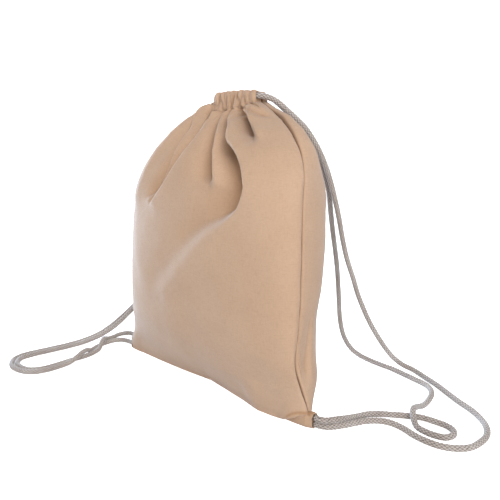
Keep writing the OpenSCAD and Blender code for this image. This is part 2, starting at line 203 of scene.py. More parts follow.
LEFT_FRONT = [
    [-10.2, 33.25, 372], [-20, 37, 371], [-33, 46, 368], [-47, 57, 361], [-60, 70, 350], [-74, 80, 338], [-88, 89, 322],
    [-103, 97, 302], [-118, 103, 278], [-133, 106, 250], [-148, 106, 220], [-164, 101, 188], [-180, 92, 156], [-196, 79, 124],
    [-211, 63, 94], [-227, 43, 64], [-240, 22, 38], [-247, 0, 20], [-250, -24, 10], [-252, -51, 5], [-254.5, -80, LIE],
    [-257.5, -108, LIE], [-260, -132, LIE], [-260, -148, LIE], [-256, -157, LIE], [-248, -164, LIE], [-237, -168, LIE], [-221, -168, LIE],
    [-208, -164, LIE], [-200, -156, LIE], [-196, -146, LIE], [-195, -132, LIE], [-196.5, -112, LIE], [-197.5, -98, LIE], [-197, -86, LIE],
    [-198, -75, LIE], [-202, -63, LIE], [-208, -52, 4], [-213, -46, 7], [-219, -40, 10.5], [-226, -33, 11.4], [-233, -26, 9],
    [-238, -17, 5], [-243, -5, LIE], [-247, 8, LIE], [-245, 20, LIE], [-235, 27, LIE], [-221, 25, 4], [-209, 17, 6], [-199, 7, 11],
    [-189.3, 1.5, T1]]
LEFT_BACK = [
    [-10.2, 56.75, 372], [-20, 60, 370], [-34, 66, 366], [-48, 74, 359], [-62, 83, 348], [-76, 92, 335], [-91, 101, 318],
    [-106, 108, 298], [-121, 113, 274], [-136, 115, 247], [-152, 114, 217], [-168, 109, 186], [-185, 100, 155], [-202, 86, 124],
    [-218, 69, 94], [-234, 48, 65], [-248, 25, 39], [-255, 1, 21], [-258, -24, 10], [-260, -51, 5], [-262, -80, LIE],
    [-265, -108, LIE], [-268, -133, LIE], [-268, -150, LIE], [-262, -163, LIE], [-251, -171, LIE], [-237, -176, LIE], [-221, -176, LIE],
    [-204, -171, LIE], [-193, -161, LIE], [-188, -148, LIE], [-187, -132, LIE], [-188, -112, 4.5], [-190, -98, 9], [-196, -86, 11.4],
    [-203, -75, 10], [-210, -65, 5], [-217, -55, LIE], [-222, -45, LIE], [-225.5, -35, LIE], [-227, -24, LIE], [-226, -12, LIE],
    [-220, -3, LIE], [-211, 1, LIE], [-200, 2, 4], [-189.3, 1.5, T0]]

cords = {}
for name, node, route, side, seed in (
        ("right_strap_front", "right_strand_front", RIGHT_FRONT, 1, 1),
        ("right_strap_back", "right_strand_back", RIGHT_BACK, 1, 2),
        ("left_strap_front", "left_strand_front", LEFT_FRONT, -1, 3),
        ("left_strap_back", "left_strand_back", LEFT_BACK, -1, 4)):
    ob, path = cord_mesh(name, catmull(route, 12), ends=((side, 0, 0), (-side, 0, 0)), seed=seed)
    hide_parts(node)
    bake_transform(ob)
    cords[name] = ob

# the stretch of each drawcord inside the casings: a U through both, open towards its own side
MX, MY, RUN_Y, HALF_M = 22.0, 45.0, 11.75, 31.0
for side, z, name, node, body, seed in ((1, 380.0, "right_drawcord_in_casing", "right_cord_run", "right_drawcord", 5), (-1, 372.0, "left_drawcord_in_casing", "left_cord_run", "left_drawcord", 6)):
    end, turn = HALF_M + 1.1, -(HALF_M - RUN_Y)
    pts = [[x, -RUN_Y, z] for x in np.linspace(end, turn, 30)]
    pts += [[turn - RUN_Y * math.sin(a), -RUN_Y * math.cos(a), z] for a in np.linspace(0, math.pi, 40)[1:-1]]
    pts += [[x, RUN_Y, z] for x in np.linspace(turn, end, 30)]
    line = np.array([[MX + side * p[0], MY + p[1], p[2]] for p in pts])
    ob, path = cord_mesh(name, line, first=(0, 0, 1), seed=seed)
    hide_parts(node)
    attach(ob, body)
    cords[name] = ob

# cut ends held inside the corner tabs
for side, name, node in ((1, "right_cord_ends_in_tab", "right_cord_ends"), (-1, "left_cord_ends_in_tab", "left_cord_ends")):
    parts = []
    for z in (T0, T1):
        line = np.array([[side * x, 2.5 if side > 0 else 1.5, z] for x in np.linspace(183.6, 189.4, 12)])
        ob, _ = cord_mesh(name + "_part", line, first=(0, 0, 1), seed=9)
        parts.append(ob)
    with bpy.context.temp_override(active_object=parts[0], selected_editable_objects=parts, selected_objects=parts, object=parts[0]):
        bpy.ops.object.join()
    ob = parts[0]
    ob.name = name
    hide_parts(node)
    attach(ob, "bag")
    cords[name] = ob

# ---------------------------------------------------------------- bag cloth: base form
FRONT_FILL, BACK_FILL, HALF_B = 41.0, 98.0, 180.0
KEYS = np.array([
    [0.00, 1.000, 0, 0, 0.22, 0.49], [0.03, 0.990, 0, 0, 0.34, 0.60], [0.11, 0.955, 1, -2, 0.60, 0.74], [0.22, 0.925, 3, -6, 0.84, 0.86],
    [0.36, 0.900, 5, -6, 0.95, 0.93], [0.55, 0.880, 8, -4, 1.00, 0.98], [0.69, 0.855, 11, -2, 0.98, 0.96], [0.78, 0.815, 14, 4, 0.93, 0.83],
    [0.85, 0.735, 16, 12, 0.82, 0.66], [0.91, 0.600, 18, 22, 0.68, 0.48], [0.955, 0.460, 20, 32, 0.55, 0.34], [0.985, 0.330, 21, 40, 0.47, 0.25],
    [1.00, 0.200, 22, 45, 0.40, 0.165]])
POWERS = np.array([[0, 1.5, 1.5], [0.11, 2.0, 2.1], [0.3, 2.4, 2.8], [0.7, 2.4, 3.0], [0.9, 2.2, 2.6], [0.965, 2.5, 2.7], [1, 5.0, 5.0]])


def curve(table, col, f):
    f = np.atleast_1d(np.asarray(f, float))
    i = np.clip(np.searchsorted(table[:, 0], f, side="right") - 1, 0, len(table) - 2)
    b, c = table[i], table[i + 1]
    u = np.clip((f - b[:, 0]) / (c[:, 0] - b[:, 0]), 0, 1)
    B, C = b[:, col], c[:, col]
    A = np.where(i > 0, table[np.maximum(i - 1, 0), col], B)
    D = np.where(i < len(table) - 2, table[np.minimum(i + 2, len(table) - 1), col], C)
    return 0.5 * (2 * B + (C - A) * u + (2 * A - 5 * B + 4 * C - D) * u ** 2 + (3 * B - A - 3 * C + D) * u ** 3)


def outline(f, side, samples=1501):
    """Outline of one panel at height share f: positions from the left seam to the right one."""
    share = 0.5 - 0.5 * np.cos(np.linspace(0, math.pi, samples))   # close together near the seams
    a = math.pi * (1 - share)
    c, s = np.cos(a), np.abs(np.sin(a))
    n = curve(POWERS, 1 if side < 0 else 2, f)[0]
    w = curve(KEYS, 1, f)[0] * HALF_B
    d = curve(KEYS, 4, f)[0] * FRONT_FILL if side < 0 else curve(KEYS, 5, f)[0] * BACK_FILL
    x = curve(KEYS, 2, f)[0] + w * np.sign(c) * np.abs(c) ** (2 / n)
    y = curve(KEYS, 3, f)[0] + side * d * s ** (2 / n)
    return x, y, share


SEAM_STEPS = np.array([0, 0.5, 1.0, 1.6, 2.3, 3.1, 4.0, 5.0, 6.2])


def panel_base(side, cols, row_step):
    """Grid of points [rows, cols, 3], share and height in millimetres of cloth."""
    fs = np.unique(np.r_[np.linspace(0, 1, int(PANEL_H / row_step) + 1), 0.001, 0.0025, 0.0045])
    rows_xy = []
    for f in fs:
        x, y, share = outline(f, side)
        L = np.r_[0, np.cumsum(np.hypot(np.diff(x), np.diff(y)))]
        st = SEAM_STEPS if L[-1] > 40 else SEAM_STEPS * 0.5
        mid = np.linspace(st[-1], L[-1] - st[-1], cols - 2 * len(st) + 2)
        at = np.r_[st, mid[1:-1], (L[-1] - st)[::-1]]
        rows_xy.append((np.interp(at, L, x), np.interp(at, L, y), np.interp(at, L, share), at))
    X = np.array([r[0] for r in rows_xy]); Y = np.array([r[1] for r in rows_xy])
    S = np.array([r[2] for r in rows_xy]); A = np.array([r[3] for r in rows_xy])
    Z = np.repeat((fs * PANEL_H)[:, None], X.shape[1], 1)
    G = np.stack([X, Y, Z], -1)
    # underside, from the outline on the floor to the bottom seam
    qs = np.array([1, 0.985, 0.95, 0.9, 0.82, 0.72, 0.6, 0.48, 0.36, 0.25, 0.15, 0.07, 0.03])
    under = []
    for q in qs:
        r = G[0].copy()
        r[:, 1] = r[:, 1] * (1 - q)
        under.append(r)
    G = np.concatenate([np.array(under), G])
    S = np.concatenate([np.repeat(S[:1], len(qs), 0), S])
    # upper hem, tucked inside the casing, higher at the side seams
    top = G[-1].copy()
    extra = []
    for k in (1, 2, 3):
        r = top.copy()
        rise = 1.4 * k + 2.4 * k * np.clip((np.abs(2 * S[-1] - 1) - 0.80) / 0.20, 0, 1) ** 1.5
        r[:, 2] = top[:, 2] + rise
        r[:, 1] = top[:, 1] - side * 0.5 * k * (1 - np.clip((np.abs(2 * S[-1] - 1) - 0.80) / 0.20, 0, 1))
        extra.append(r)
    G = np.concatenate([G, np.array(extra)])
    S = np.concatenate([S, np.repeat(S[-1:], 3, 0)])
    # round the edge between the underside and the wall
    lo = len(qs)
    for _ in range(14):
        H = G.copy()
        a, b = 1, lo + 8
        H[a:b] = 0.5 * G[a:b] + 0.25 * (G[a - 1:b - 1] + G[a + 1:b + 1])
        fade = np.clip(1.4 - np.abs(np.arange(a, b) - lo) / 6, 0, 1)[:, None, None]
        G[a:b] = G[a:b] * (1 - fade) + H[a:b] * fade
    return G, S, lo


def grid_normals(G, side):
    du = np.gradient(G, axis=1)
    dv = np.gradient(G, axis=0)
    n = np.cross(du, dv)
    l = np.linalg.norm(n, axis=2, keepdims=True)
    n = np.where(l > 1e-9, n / np.maximum(l, 1e-9), 0)
    if side > 0:
        n = -n
    return n


def smooth_field(h, times=1):
    for _ in range(times):
        p = np.pad(h, ((1, 1), (1, 1)) + ((0, 0),) * (h.ndim - 2), mode="edge")
        h = 0.5 * h + 0.125 * (p[:-2, 1:-1] + p[2:, 1:-1] + p[1:-1, :-2] + p[1:-1, 2:])
    return h


def resample(pts, vals, step=1.5):
    """A smooth line through the points with the values carried along."""
    p = catmull(pts, 8)
    v = np.array([np.interp(np.arange(len(p)) / 8, np.arange(len(pts)), np.broadcast_to(x, len(pts)) if np.ndim(x) == 0 else x) for x in vals]).T
    d = np.r_[0, np.cumsum(np.linalg.norm(np.diff(p, axis=0), axis=1))]
    t = np.arange(0, d[-1], step)
    return (np.stack([np.interp(t, d, p[:, k]) for k in range(3)], 1), np.stack([np.interp(t, d, v[:, k]) for k in range(v.shape[1])], 1), d[-1])


def step01(x):
    x = np.clip(x, 0, 1)
    return x * x * (3 - 2 * x)


def fold(G, N, line3, hl, wl, hr, wr, e=1.3, over=0.0, pl=2.0, pr=2.0, taper=(0, 12)):
    """A fold along line3, listed downwards: hl and wl are the rise and reach on its left, hr and wr on its right,
    e is half the width of the edge between them, over is how far the right side laps over the left."""
    L, V, total = resample(line3, [hl, wl, hr, wr, e, over])
    T = np.gradient(L, axis=0)
    T /= np.linalg.norm(T, axis=1, keepdims=True)
    P = G.reshape(-1, 3)
    reach = 3.2 * max(np.max(wl), np.max(wr))
    lo, hi = L.min(0) - reach, L.max(0) + reach
    near = np.where(((P > lo) & (P < hi)).all(1))[0]
    H = np.zeros(len(P)); M = np.zeros((len(P), 3))
    if len(near) == 0:
        return H.reshape(G.shape[:2]), M.reshape(G.shape)
    for part in np.array_split(near, max(1, len(near) // 8000)):
        D = P[part][:, None] - L[None]
        q = (D ** 2).sum(2)
        k = q.argmin(1)
        d = D[np.arange(len(part)), k]
        Nn = N.reshape(-1, 3)[part]
        lat = np.cross(Nn, T[k])
        lat /= np.maximum(np.linalg.norm(lat, axis=1, keepdims=True), 1e-9)
        sd = (d * lat).sum(1)
        dist = np.sqrt(np.maximum(q[np.arange(len(part)), k], 0))
        sd = np.sign(sd) * dist
        w = np.exp(-(np.sqrt(q) - dist[:, None]) / (0.8 + 0.16 * dist[:, None]))
        w /= w.sum(1, keepdims=True)
        hl_, wl_, hr_, wr_, e_, ov_ = (w @ V).T
        s = (w @ np.arange(len(L))) * 1.5
        t0 = step01(s / taper[0]) if taper[0] > 0 else 1.0
        t1 = step01((total - s) / taper[1]) if taper[1] > 0 else 1.0
        sig = step01((sd + e_) / (2 * e_))
        left = hl_ * np.exp(-(np.abs(sd) / wl_) ** pl)
        right = hr_ * np.exp(-(np.abs(sd) / wr_) ** pr)
        H[part] = ((1 - sig) * left + sig * right) * t0 * t1
        M[part] = -lat * (ov_ * sig * np.exp(-np.abs(sd) / (0.35 * wr_ + 1)) * t0 * t1)[:, None]
    return H.reshape(G.shape[:2]), M.reshape(G.shape)


def undulate(G, scale, seed, depth=1):
    P = G.reshape(-1, 3) / scale
    return np.array([noise.fractal(Vector((p[0] + seed, p[1] - seed, p[2])), 1.0, 2.1, depth) for p in P]).reshape(G.shape[:2])


def on_front(G, N, pts):
    """(x, z) points to the nearest points of the front's base form."""
    flat, nn = G.reshape(-1, 3), N.reshape(-1, 3)
    ok = nn[:, 1] < -0.05
    out = []
    for x, z in pts:
        d = (flat[:, 0] - x) ** 2 + (flat[:, 2] - z) ** 2 + np.where(ok, 0, 1e6)
        out.append(flat[d.argmin()])
    return np.array(out)


def mouth_line(G, N, pts):
    """A line that starts on the casing's face, above the panel, and goes on down the panel."""
    up = [[x, 26.9, z] for x, z in pts if z > 367]
    down = on_front(G, N, [p for p in pts if p[1] <= 367])
    return np.vstack([up, down]) if up else down


def smooth_line(v):
    return v


def on_share(G, S, lo, pts):
    """(share, z) points on a panel."""
    out = []
    for sh, z in pts:
        j = lo + int(np.abs(G[lo:, 0, 2] - z).argmin())
        i = int(np.abs(S[j] - sh).argmin())
        out.append(G[j, i])
    return np.array(out)


# gathers of the casings: x, height where it is deepest, half height, depth, half width
FRONT_GATHERS = [(-8.0, 372, 9, 1.6, 1.7), (-1.0, 381, 10, 2.9, 1.9), (4.5, 370, 8, 2.4, 1.9), (8.0, 382, 7, 1.8, 1.6), (13.0, 375, 9, 2.8, 1.9), (19.5, 369, 7, 2.0, 2.0), (18.5, 384, 6, 1.6, 1.6),
                 (25.0, 375, 13, 3.2, 2.3), (31.5, 383, 7, 2.6, 1.8), (33.5, 368, 6, 1.8, 1.9), (39.5, 376, 11, 2.6, 2.0), (46.0, 371, 8, 2.0, 2.2), (52.5, 379, 9, 1.4, 2.2)]
BACK_GATHERS = [(-9, 376, 12, 1.6, 1.4), (-3.0, 372, 10, 2.0, 1.3), (2.0, 381, 8, 2.3, 1.3), (8.5, 375, 10, 2.4, 1.4), (14.5, 379, 9, 1.8, 1.3), (19.5, 370, 9, 2.2, 1.3),
                (25.0, 380, 9, 2.5, 1.3), (30.5, 374, 10, 1.7, 1.3), (36.0, 382, 8, 2.4, 1.3), (41.0, 372, 9, 2.0, 1.3), (47.0, 378, 10, 2.3, 1.4), (52.5, 374, 9, 1.5, 1.3)]


def gather(x, z, table):
    h = np.zeros(np.broadcast(x, z).shape)
    for gx, gz, gh, d, w in table:
        lean = 0.12 * (z - gz) * (1 if int(gx) % 2 else -1)
        h = h - d * np.exp(-np.abs((x - gx - lean) / w) ** 1.6) * np.exp(-np.abs((z - gz) / gh) ** 3)
    return h


COLS, STEP = ((290, 1.4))


def front_folds(G, N, to_line, casing_part=False):
    """The gathers of the front: each is full on its right, has a sharp edge, and a deep hollow on its left."""
    H = np.zeros(G.shape[:2]); M = np.zeros(G.shape)
    k = 0.42 if casing_part else 1.0

    def add(pts, hl, hr, over=0.0, **w):
        nonlocal H, M
        h, m = fold(G, N, to_line(pts), hl=np.array(hl, float) * k, hr=np.array(hr, float) * k, over=np.array(over, float) * k, **w)
        H = H + h; M = M + m

    # long creases from the mouth towards the left
    add([(-9, 384), (-11, 374), (-21, 362), (-32, 349), (-36, 329), (-49, 289), (-72, 258), (-94, 243)], hl=[-2, -3, -5, -6, -6.5, -6, -4, -1], wl=[3, 4, 7, 11, 13, 14, 14, 12], hr=[1, 2, 3, 3, 3, 2.5, 2, 1],
        wr=[4, 5, 7, 9, 10, 12, 12, 12], over=[0, 0, 0.5, 1, 1, 0.5, 0, 0], e=[1.3, 1.3, 1.3, 1.5, 2, 2.5, 4, 6], taper=(0, 36))
    add([(4, 384), (3, 374), (-6, 366), (-8, 348), (-4, 332), (-12, 311), (-21, 295), (-36, 274), (-57, 255), (-78, 241)], hl=[-2, -3, -4, -10, -15, -17, -17, -14, -10, -6], wl=[3, 4, 6, 10, 14, 18, 20, 21, 20, 17],
        hr=[1, 2, 3, 4, 4.5, 4.5, 4.5, 4, 3, 2], wr=[4, 5, 6, 10, 16, 22, 24, 24, 22, 20], over=[0, 1, 1, 2, 3, 3, 3, 2.5, 1.5, 0], e=[1.3, 1.3, 1.3, 1.3, 1.3, 1.3, 1.5, 1.8, 2.5, 4], taper=(0, 20))
    # short soft hollow with a sharp right edge
    add([(15, 385), (13, 375), (13, 364), (16, 350), (30, 332), (41, 312), (47, 294), (49, 276), (46, 258)], hl=[-1, -2, -3.5, -10, -17, -20, -16, -8, -2], wl=[3, 4, 6, 9, 14, 19, 24, 28, 30], hr=[0.5, 1, 2, 3, 5, 6.5, 6, 4, 1],
        wr=[3, 4, 5, 6, 8, 10, 12, 16, 18], over=[0, 0.5, 1, 2, 3, 3, 1, 0, 0], e=[1.2, 1.2, 1.2, 1.2, 1.3, 1.8, 4, 8, 10], taper=(0, 34))
    # the deep hollow under the big right lobe
    add([(24, 386), (24, 376), (28, 366), (34, 352), (50, 338), (62, 323), (78, 312), (90, 303), (100, 289), (104, 278), (105, 270), (102, 261), (95, 250), (81, 239), (64, 229), (44, 219), (20, 204), (-10, 186)],
        hl=[-2, -3, -4.5, -10, -17, -20, -21, -21, -21, -20, -19, -17.5, -15.5, -13, -10, -7, -4, -1.5], wl=[3, 4, 6, 8, 12, 16, 20, 25, 31, 36, 40, 43, 44, 44, 42, 38, 34, 30],
        hr=[1, 2, 3, 7, 9, 10, 10, 9.5, 8.5, 8, 7, 6, 4.5, 3.5, 2.5, 2, 1.5, 1], wr=[4, 6, 9, 14, 20, 26, 32, 36, 38, 38, 38, 38, 38, 36, 34, 32, 30, 30],
        over=[0, 1, 1.5, 2.5, 4, 4.5, 4.5, 4, 3.5, 3, 2, 1, 0.5, 0, 0, 0, 0, 0], e=[1.2, 1.2, 1.2, 1.2, 1.2, 1.2, 1.2, 1.4, 1.8, 2.4, 3.4, 4.5, 6, 8, 10, 13, 16, 18], taper=(0, 30))
    # dark almond pocket below the casing
    add([(36, 385), (37, 377), (42, 369), (50, 363), (60, 357.5), (71.5, 348), (80, 339.5), (89, 332), (98, 325.5), (109, 319)], hl=[-4, -6, -8, -13, -16, -17, -15, -10, -6, -2], wl=[2.5, 4.5, 9, 12, 13.5, 13, 12.5, 13, 14, 14],
        hr=[1, 2, 3, 4, 5, 5, 4, 3, 1.5, 0.5], wr=[3, 4, 5, 7, 11, 16, 18, 18, 18, 18], over=[0, 0.5, 1, 2, 3, 3, 2, 1, 0, 0], e=[1.0, 1.0, 1.1, 1.2, 1.3, 1.6, 2.4, 3.6, 5, 6], taper=(0, 18))
    # small ones beside it, running out under the sleeve
    add([(47, 384), (48, 374), (52, 367), (62, 364), (81, 357), (95, 352)], hl=[-2, -2.5, -4, -5, -3.5, -1.5], wl=[3, 4, 5, 6, 8, 10], hr=[0.3, 0.4, 0.5, 0.5, 0.4, 0.2], wr=[3, 4, 5, 7, 9, 10], over=[0, 0.5, 1, 1, 0.5, 0], e=[1, 1, 1, 1.5, 3, 4], taper=(0, 14))
    add([(52, 379), (56, 372), (64, 368), (76, 364)], hl=[-1, -2, -2.5, -1], wl=[2.5, 3, 4, 5], hr=[0.5, 1, 1, 0.5], wr=[3, 3, 4, 5], e=1.0, taper=(0, 8))
    return H, M


def sculpt(side):
    G, S, lo = panel_base(side, COLS, STEP)
    X0, Z0 = G[..., 0].copy(), G[..., 2].copy()
    # the foot of the bag lies in a slow S along the floor
    foot_x = np.array([-180, -164, -150, -110, -53, 1, 40, 76, 108, 128, 147, 162, 172, 180])
    foot_dy = np.array([0, -1.0, 0.3, 1.5, 5.5, 11.5, 5.5, -0.5, -7.5, -7.0, -4.5, -3.0, -1.5, 0])
    seam_dy = 6.5 * np.exp(-((X0 - 3) / 52) ** 2)
    dy_out = np.interp(X0, foot_x, smooth_line(foot_dy)) * np.exp(-(Z0 / 30.0) ** 2) if side < 0 else np.zeros_like(X0)
    under = np.clip((lo - np.arange(G.shape[0])) / lo, 0, 1)
    q = under[:, None] ** 1.3
    G[..., 1] += dy_out * (1 - q) + seam_dy * q
    # the side seams wander a little: in towards the front low down on the right
    edge_r = np.exp(-((1 - S) / 0.075) ** 2); edge_l = np.exp(-(S / 0.075) ** 2)
    pull = np.exp(-((Z0 - 74) / 36.0) ** 2)
    G[..., 0] += -4.2 * pull * edge_r
    G[..., 1] += -5.6 * pull * edge_r
    G[..., 0] += 1.5 * np.sin(Z0 / 31.0) * edge_l * step01(Z0 / 25)
    # the neck comes up to the casing, and the shoulders rise to its two ends
    neck = step01((Z0 - 338) / 26)
    if side < 0:
        face = 25.2 + 1.6 * np.exp(-((X0 + 16) / 6) ** 2)
        mid_face = 1 - np.clip((np.abs(2 * S - 1) - 0.62) / 0.25, 0, 1)
        G[..., 1] += np.minimum(0, face - G[..., 1]) * mid_face * np.exp(-(np.clip(366 - Z0, 0, 200) / 9.0) ** 1.5)
    G[..., 2] += 7.5 * neck * np.exp(-(np.clip(X0 - 60, 0, 99) / 15.0) ** 2) * step01((X0 - 40) / 13) * (1 if side < 0 else step01((S - 0.86) / 0.1))
    G[..., 2] += 5.0 * neck * np.exp(-((X0 + 22) / 13.0) ** 2) * step01((-8 - X0) / 8)
    G[..., 2] += 8.0 * neck * np.exp(-((X0 + 15) / 6.5) ** 2) * step01((-7 - X0) / 5)
    # the lower corners reach out round the cord ends
    low = np.exp(-(Z0 / 40.0) ** 2)
    reach = np.exp(-(S / (0.085 if side < 0 else 0.05)) ** 2)
    wide = np.exp(-(Z0 / 50.0) ** 2) * np.exp(-(S / (0.17 if side < 0 else 0.07)) ** 2)
    G[..., 0] -= (5.5 * low * reach + 5.0 * wide) * (1 - 0.45 * np.exp(-(S / 0.04) ** 2) * np.exp(-(Z0 / 10.0) ** 2))
    G[..., 1] -= 5.0 * wide
    G[..., 2] += 3.5 * np.exp(-(Z0 / 8.0) ** 2) * np.exp(-(S / 0.03) ** 2)
    N = grid_normals(G, side)
    N[lo - 6:lo + 3] = smooth_field(N[lo - 6:lo + 3], 2)
    H = np.zeros(G.shape[:2]); M = np.zeros(G.shape)
    if side < 0:
        def line_at(pts):
            return on_front(G, N, pts)

        def add(pts, **k):
            nonlocal H, M
            h, m = fold(G, N, line_at(pts), **k)
            H = H + h; M = M + m
        h, m = front_folds(G, N, lambda pts: mouth_line(G, N, pts))
        H = H + h; M = M + m
        # soft long ridge that runs down to the left, darker above it
        add([(99, 262), (89, 249), (66, 228), (41, 199), (11, 174), (-37, 130), (-80, 96)], hl=[0, 0.8, 2.2, 3.4, 3.8, 3.0, 1], wl=[10, 12, 15, 17, 19, 22, 24], hr=[0, 0.8, 2.2, 3.4, 3.8, 3.0, 1], wr=[18, 20, 26, 30, 34, 38, 40], e=12, taper=(30, 60))
        add([(60, 250), (30, 222), (-5, 192), (-50, 150), (-90, 118)], hl=[-0.5, -1.5, -2.4, -2.4, -1], wl=22, hr=[-0.5, -1.5, -2.4, -2.4, -1], wr=20, e=12, taper=(30, 40))
        # full roll over the left shoulder
        add([(-12, 365), (-32, 357), (-52, 343), (-72, 325), (-92, 300), (-112, 268), (-130, 225)], hl=[6, 12, 11, 8, 6, 4, 1.5], wl=[7, 11, 14, 16, 18, 20, 22], hr=[6, 12, 11, 8, 6, 4, 1.5], wr=[7, 10, 12, 13, 14, 15, 16], e=7, taper=(0, 40))
        # crease above the right corner: the cloth hangs over the sewn-in flap
        add([(142, 0.5), (148, 4), (156, 9), (163, 13), (170, 15.5), (177, 17), (182, 18)], hl=[-3, -7, -9, -9, -8, -6, -3], wl=[4, 6, 8, 10, 10, 10, 10], hr=[2, 5, 6.5, 6.5, 5, 3, 1], wr=[7, 11, 14, 15, 14, 12, 10], over=[1, 2, 3, 3, 2.5, 1.5, 0], e=0.9, taper=(5, 4))
        # fullness low on the right
        add([(118, 46), (100, 26), (80, 14)], hl=[2, 3, 2], wl=24, hr=[2, 3, 2], wr=22, e=12, taper=(20, 20))
    else:
        def add(pts, **k):
            nonlocal H, M
            h, m = fold(G, N, on_share(G, S, lo, pts), **k)
            H = H + h; M = M + m
        # share runs from the left seam to the right one; seen from behind, right is left
        for a, b, z1, d, w in ((0.12, 0.13, 262, 5, 10), (0.22, 0.20, 205, 9.0, 16), (0.31, 0.32, 292, 6.0, 9), (0.40, 0.38, 180, 11.0, 18), (0.48, 0.50, 280, 6.0, 10),
                               (0.56, 0.58, 225, 9.5, 15), (0.65, 0.63, 300, 5.5, 9), (0.73, 0.77, 215, 9.0, 16), (0.81, 0.84, 292, 5, 10)):
            zs = np.linspace(365, z1, 6)
            pts = [(a + (b - a) * u + 0.012 * math.sin(9 * u + 20 * a), z) for u, z in zip(np.linspace(0, 1, 6), zs)]
            pw = np.array([0.35, 0.75, 1, 0.95, 0.7, 0.3])
            ww = np.array([0.3, 0.5, 0.75, 1, 1.15, 1.25]) * w
            add(pts, hl=-d * pw, wl=ww * 0.8, hr=0.5 * d * pw, wr=ww * 1.3, over=0.25 * d * pw, e=1.5, taper=(0, 30))
        # broad sag folds lower down
        add([(0.25, 150), (0.36, 112), (0.5, 95), (0.64, 112), (0.76, 150)], hl=-3.0, wl=26, hr=2.6, wr=26, e=9, taper=(60, 60))
        add([(0.30, 80), (0.5, 52), (0.72, 84)], hl=2.4, wl=20, hr=-2.4, wr=16, e=8, taper=(60, 60))
        # the right side draws in and swells out again low down
        sway = -4.2 * np.exp(-((Z0 - 112) / 27.0) ** 2) + 4.2 * np.exp(-((Z0 - 48) / 22.0) ** 2)
        sway = sway * np.exp(-((S - 0.87) / 0.09) ** 2)
        M[..., 0] += 0.7 * sway; M[..., 1] += 0.7 * sway
        # the side beside the right seam: a soft long hollow low down
        add([(0.958, 150), (0.948, 110), (0.950, 70), (0.965, 40)], hl=[-0.5, -2.0, -3.2, -1.5], wl=12, hr=[0.3, 1, 1.8, 0.8], wr=12, e=5, taper=(40, 25))
        # fullness over the right shoulder, below the cords
        add([(0.985, 360), (0.955, 350), (0.935, 334), (0.93, 310), (0.94, 280)], hl=[3, 6.5, 7.5, 5, 2], wl=[8, 12, 16, 20, 22], hr=[3, 6.5, 7.5, 5, 2], wr=[8, 12, 14, 16, 18], e=9, taper=(0, 30))
    Z = G[..., 2]
    x, z = G[..., 0], Z
    # gathers running out of the casing
    table = FRONT_GATHERS if side < 0 else BACK_GATHERS
    fan = 1 + np.clip(366 - z, 0, 60) / 55
    xs = MX + (x - MX) / fan
    fade = np.exp(-np.clip(366 - z, 0, 200) / 11.0)
    mid = 1 - np.clip((np.abs(2 * S - 1) - 0.86) / 0.12, 0, 1)
    H = H + gather(xs, np.full_like(xs, 370.0), table) * fade * mid * 0.9
    # slow and small unevenness of worn cotton
    fall = step01((z - 4) / 30)
    H = H + fall * (1.3 * undulate(G, 95.0, 3.0 + side, 2) + 0.5 * undulate(G, 34.0, 9.0 + side, 2)) + 0.08 * fall * undulate(G, 9.0, 17.0 + side, 1)
    # side seams: both panels turn in to the stitch line, with a pucker at each stitch
    arc = np.r_[SEAM_STEPS, np.full(COLS - 2 * len(SEAM_STEPS), 99.0), SEAM_STEPS[::-1]]
    groove = np.exp(-(arc / 1.3) ** 1.4)
    pucker = 0.22 * np.sin(2 * math.pi * z / 3.1 + 0.8 * np.sin(z / 7.0)) + 0.35 * np.sin(z / 11.0 + 1.3 * np.sin(z / 23.0))
    H = H - groove[None] * 3.0 + pucker * np.exp(-(arc / 3.5) ** 2)[None] * (1 - groove[None])
    H = H - 0.5 * np.exp(-(arc / 5.0) ** 2)[None]
    # bottom seam on the underside
    H = H - 1.6 * np.exp(-((1 - under) * 14) ** 2)[:, None] * (under > 0)[:, None]
    H = smooth_field(H, 1)
    M = smooth_field(M, 1)
    N2 = smooth_field(N, 3)
    N2 /= np.maximum(np.linalg.norm(N2, axis=2, keepdims=True), 1e-9)
    D = N2 * H[..., None] + M
    # where the two panels are joined they move together: in towards the seam allowance
    ease = np.array([1.0, 0.62, 0.30, 0.12, 0.04])
    deep = 3.0 * step01(z[:, 0] / 12) * (1 - 0.3 * step01((z[:, 0] - 350) / 15))
    for i, sx in ((0, 1), (-1, -1)):
        D[:, i] = 0
        D[:, i, 0] = sx * deep
    G2 = G + D
    G2[..., 2] = np.maximum(G2[..., 2], 0.25)
    # painted shade: the deeper the folds push the cloth in, the darker it is tinted, fading out near the seam edges
    hollow = smooth_field(np.clip(-H / 19.0, 0, 1) * np.clip(arc / 6.0, 0, 1)[None], 2)
    # painted shade along the side seams: a dark line tinted on the cloth where the seam groove lies in shade
    line = np.exp(-(arc / 1.05) ** 2)[None] * np.ones_like(hollow)
    # painted shadow: a dark band tinted along the crease over the folded right corner, wider below it, added to the
    # fold shade
    if side < 0:  # the tuck where the cloth turns in over the folded corner
        over = np.interp(G2[..., 0], [146, 150, 156, 162, 168.5, 174, 186], [3.2, 6.4, 11.8, 16.2, 18.9, 19.4, 19.2])
        tuck_shadow = np.exp(-((G2[..., 2] - over) / np.where(G2[..., 2] > over, 1.7, 3.0)) ** 2) * step01((G2[..., 0] - 147) / 10)
        hollow = np.maximum(hollow, tuck_shadow)
    return G2, hollow, line


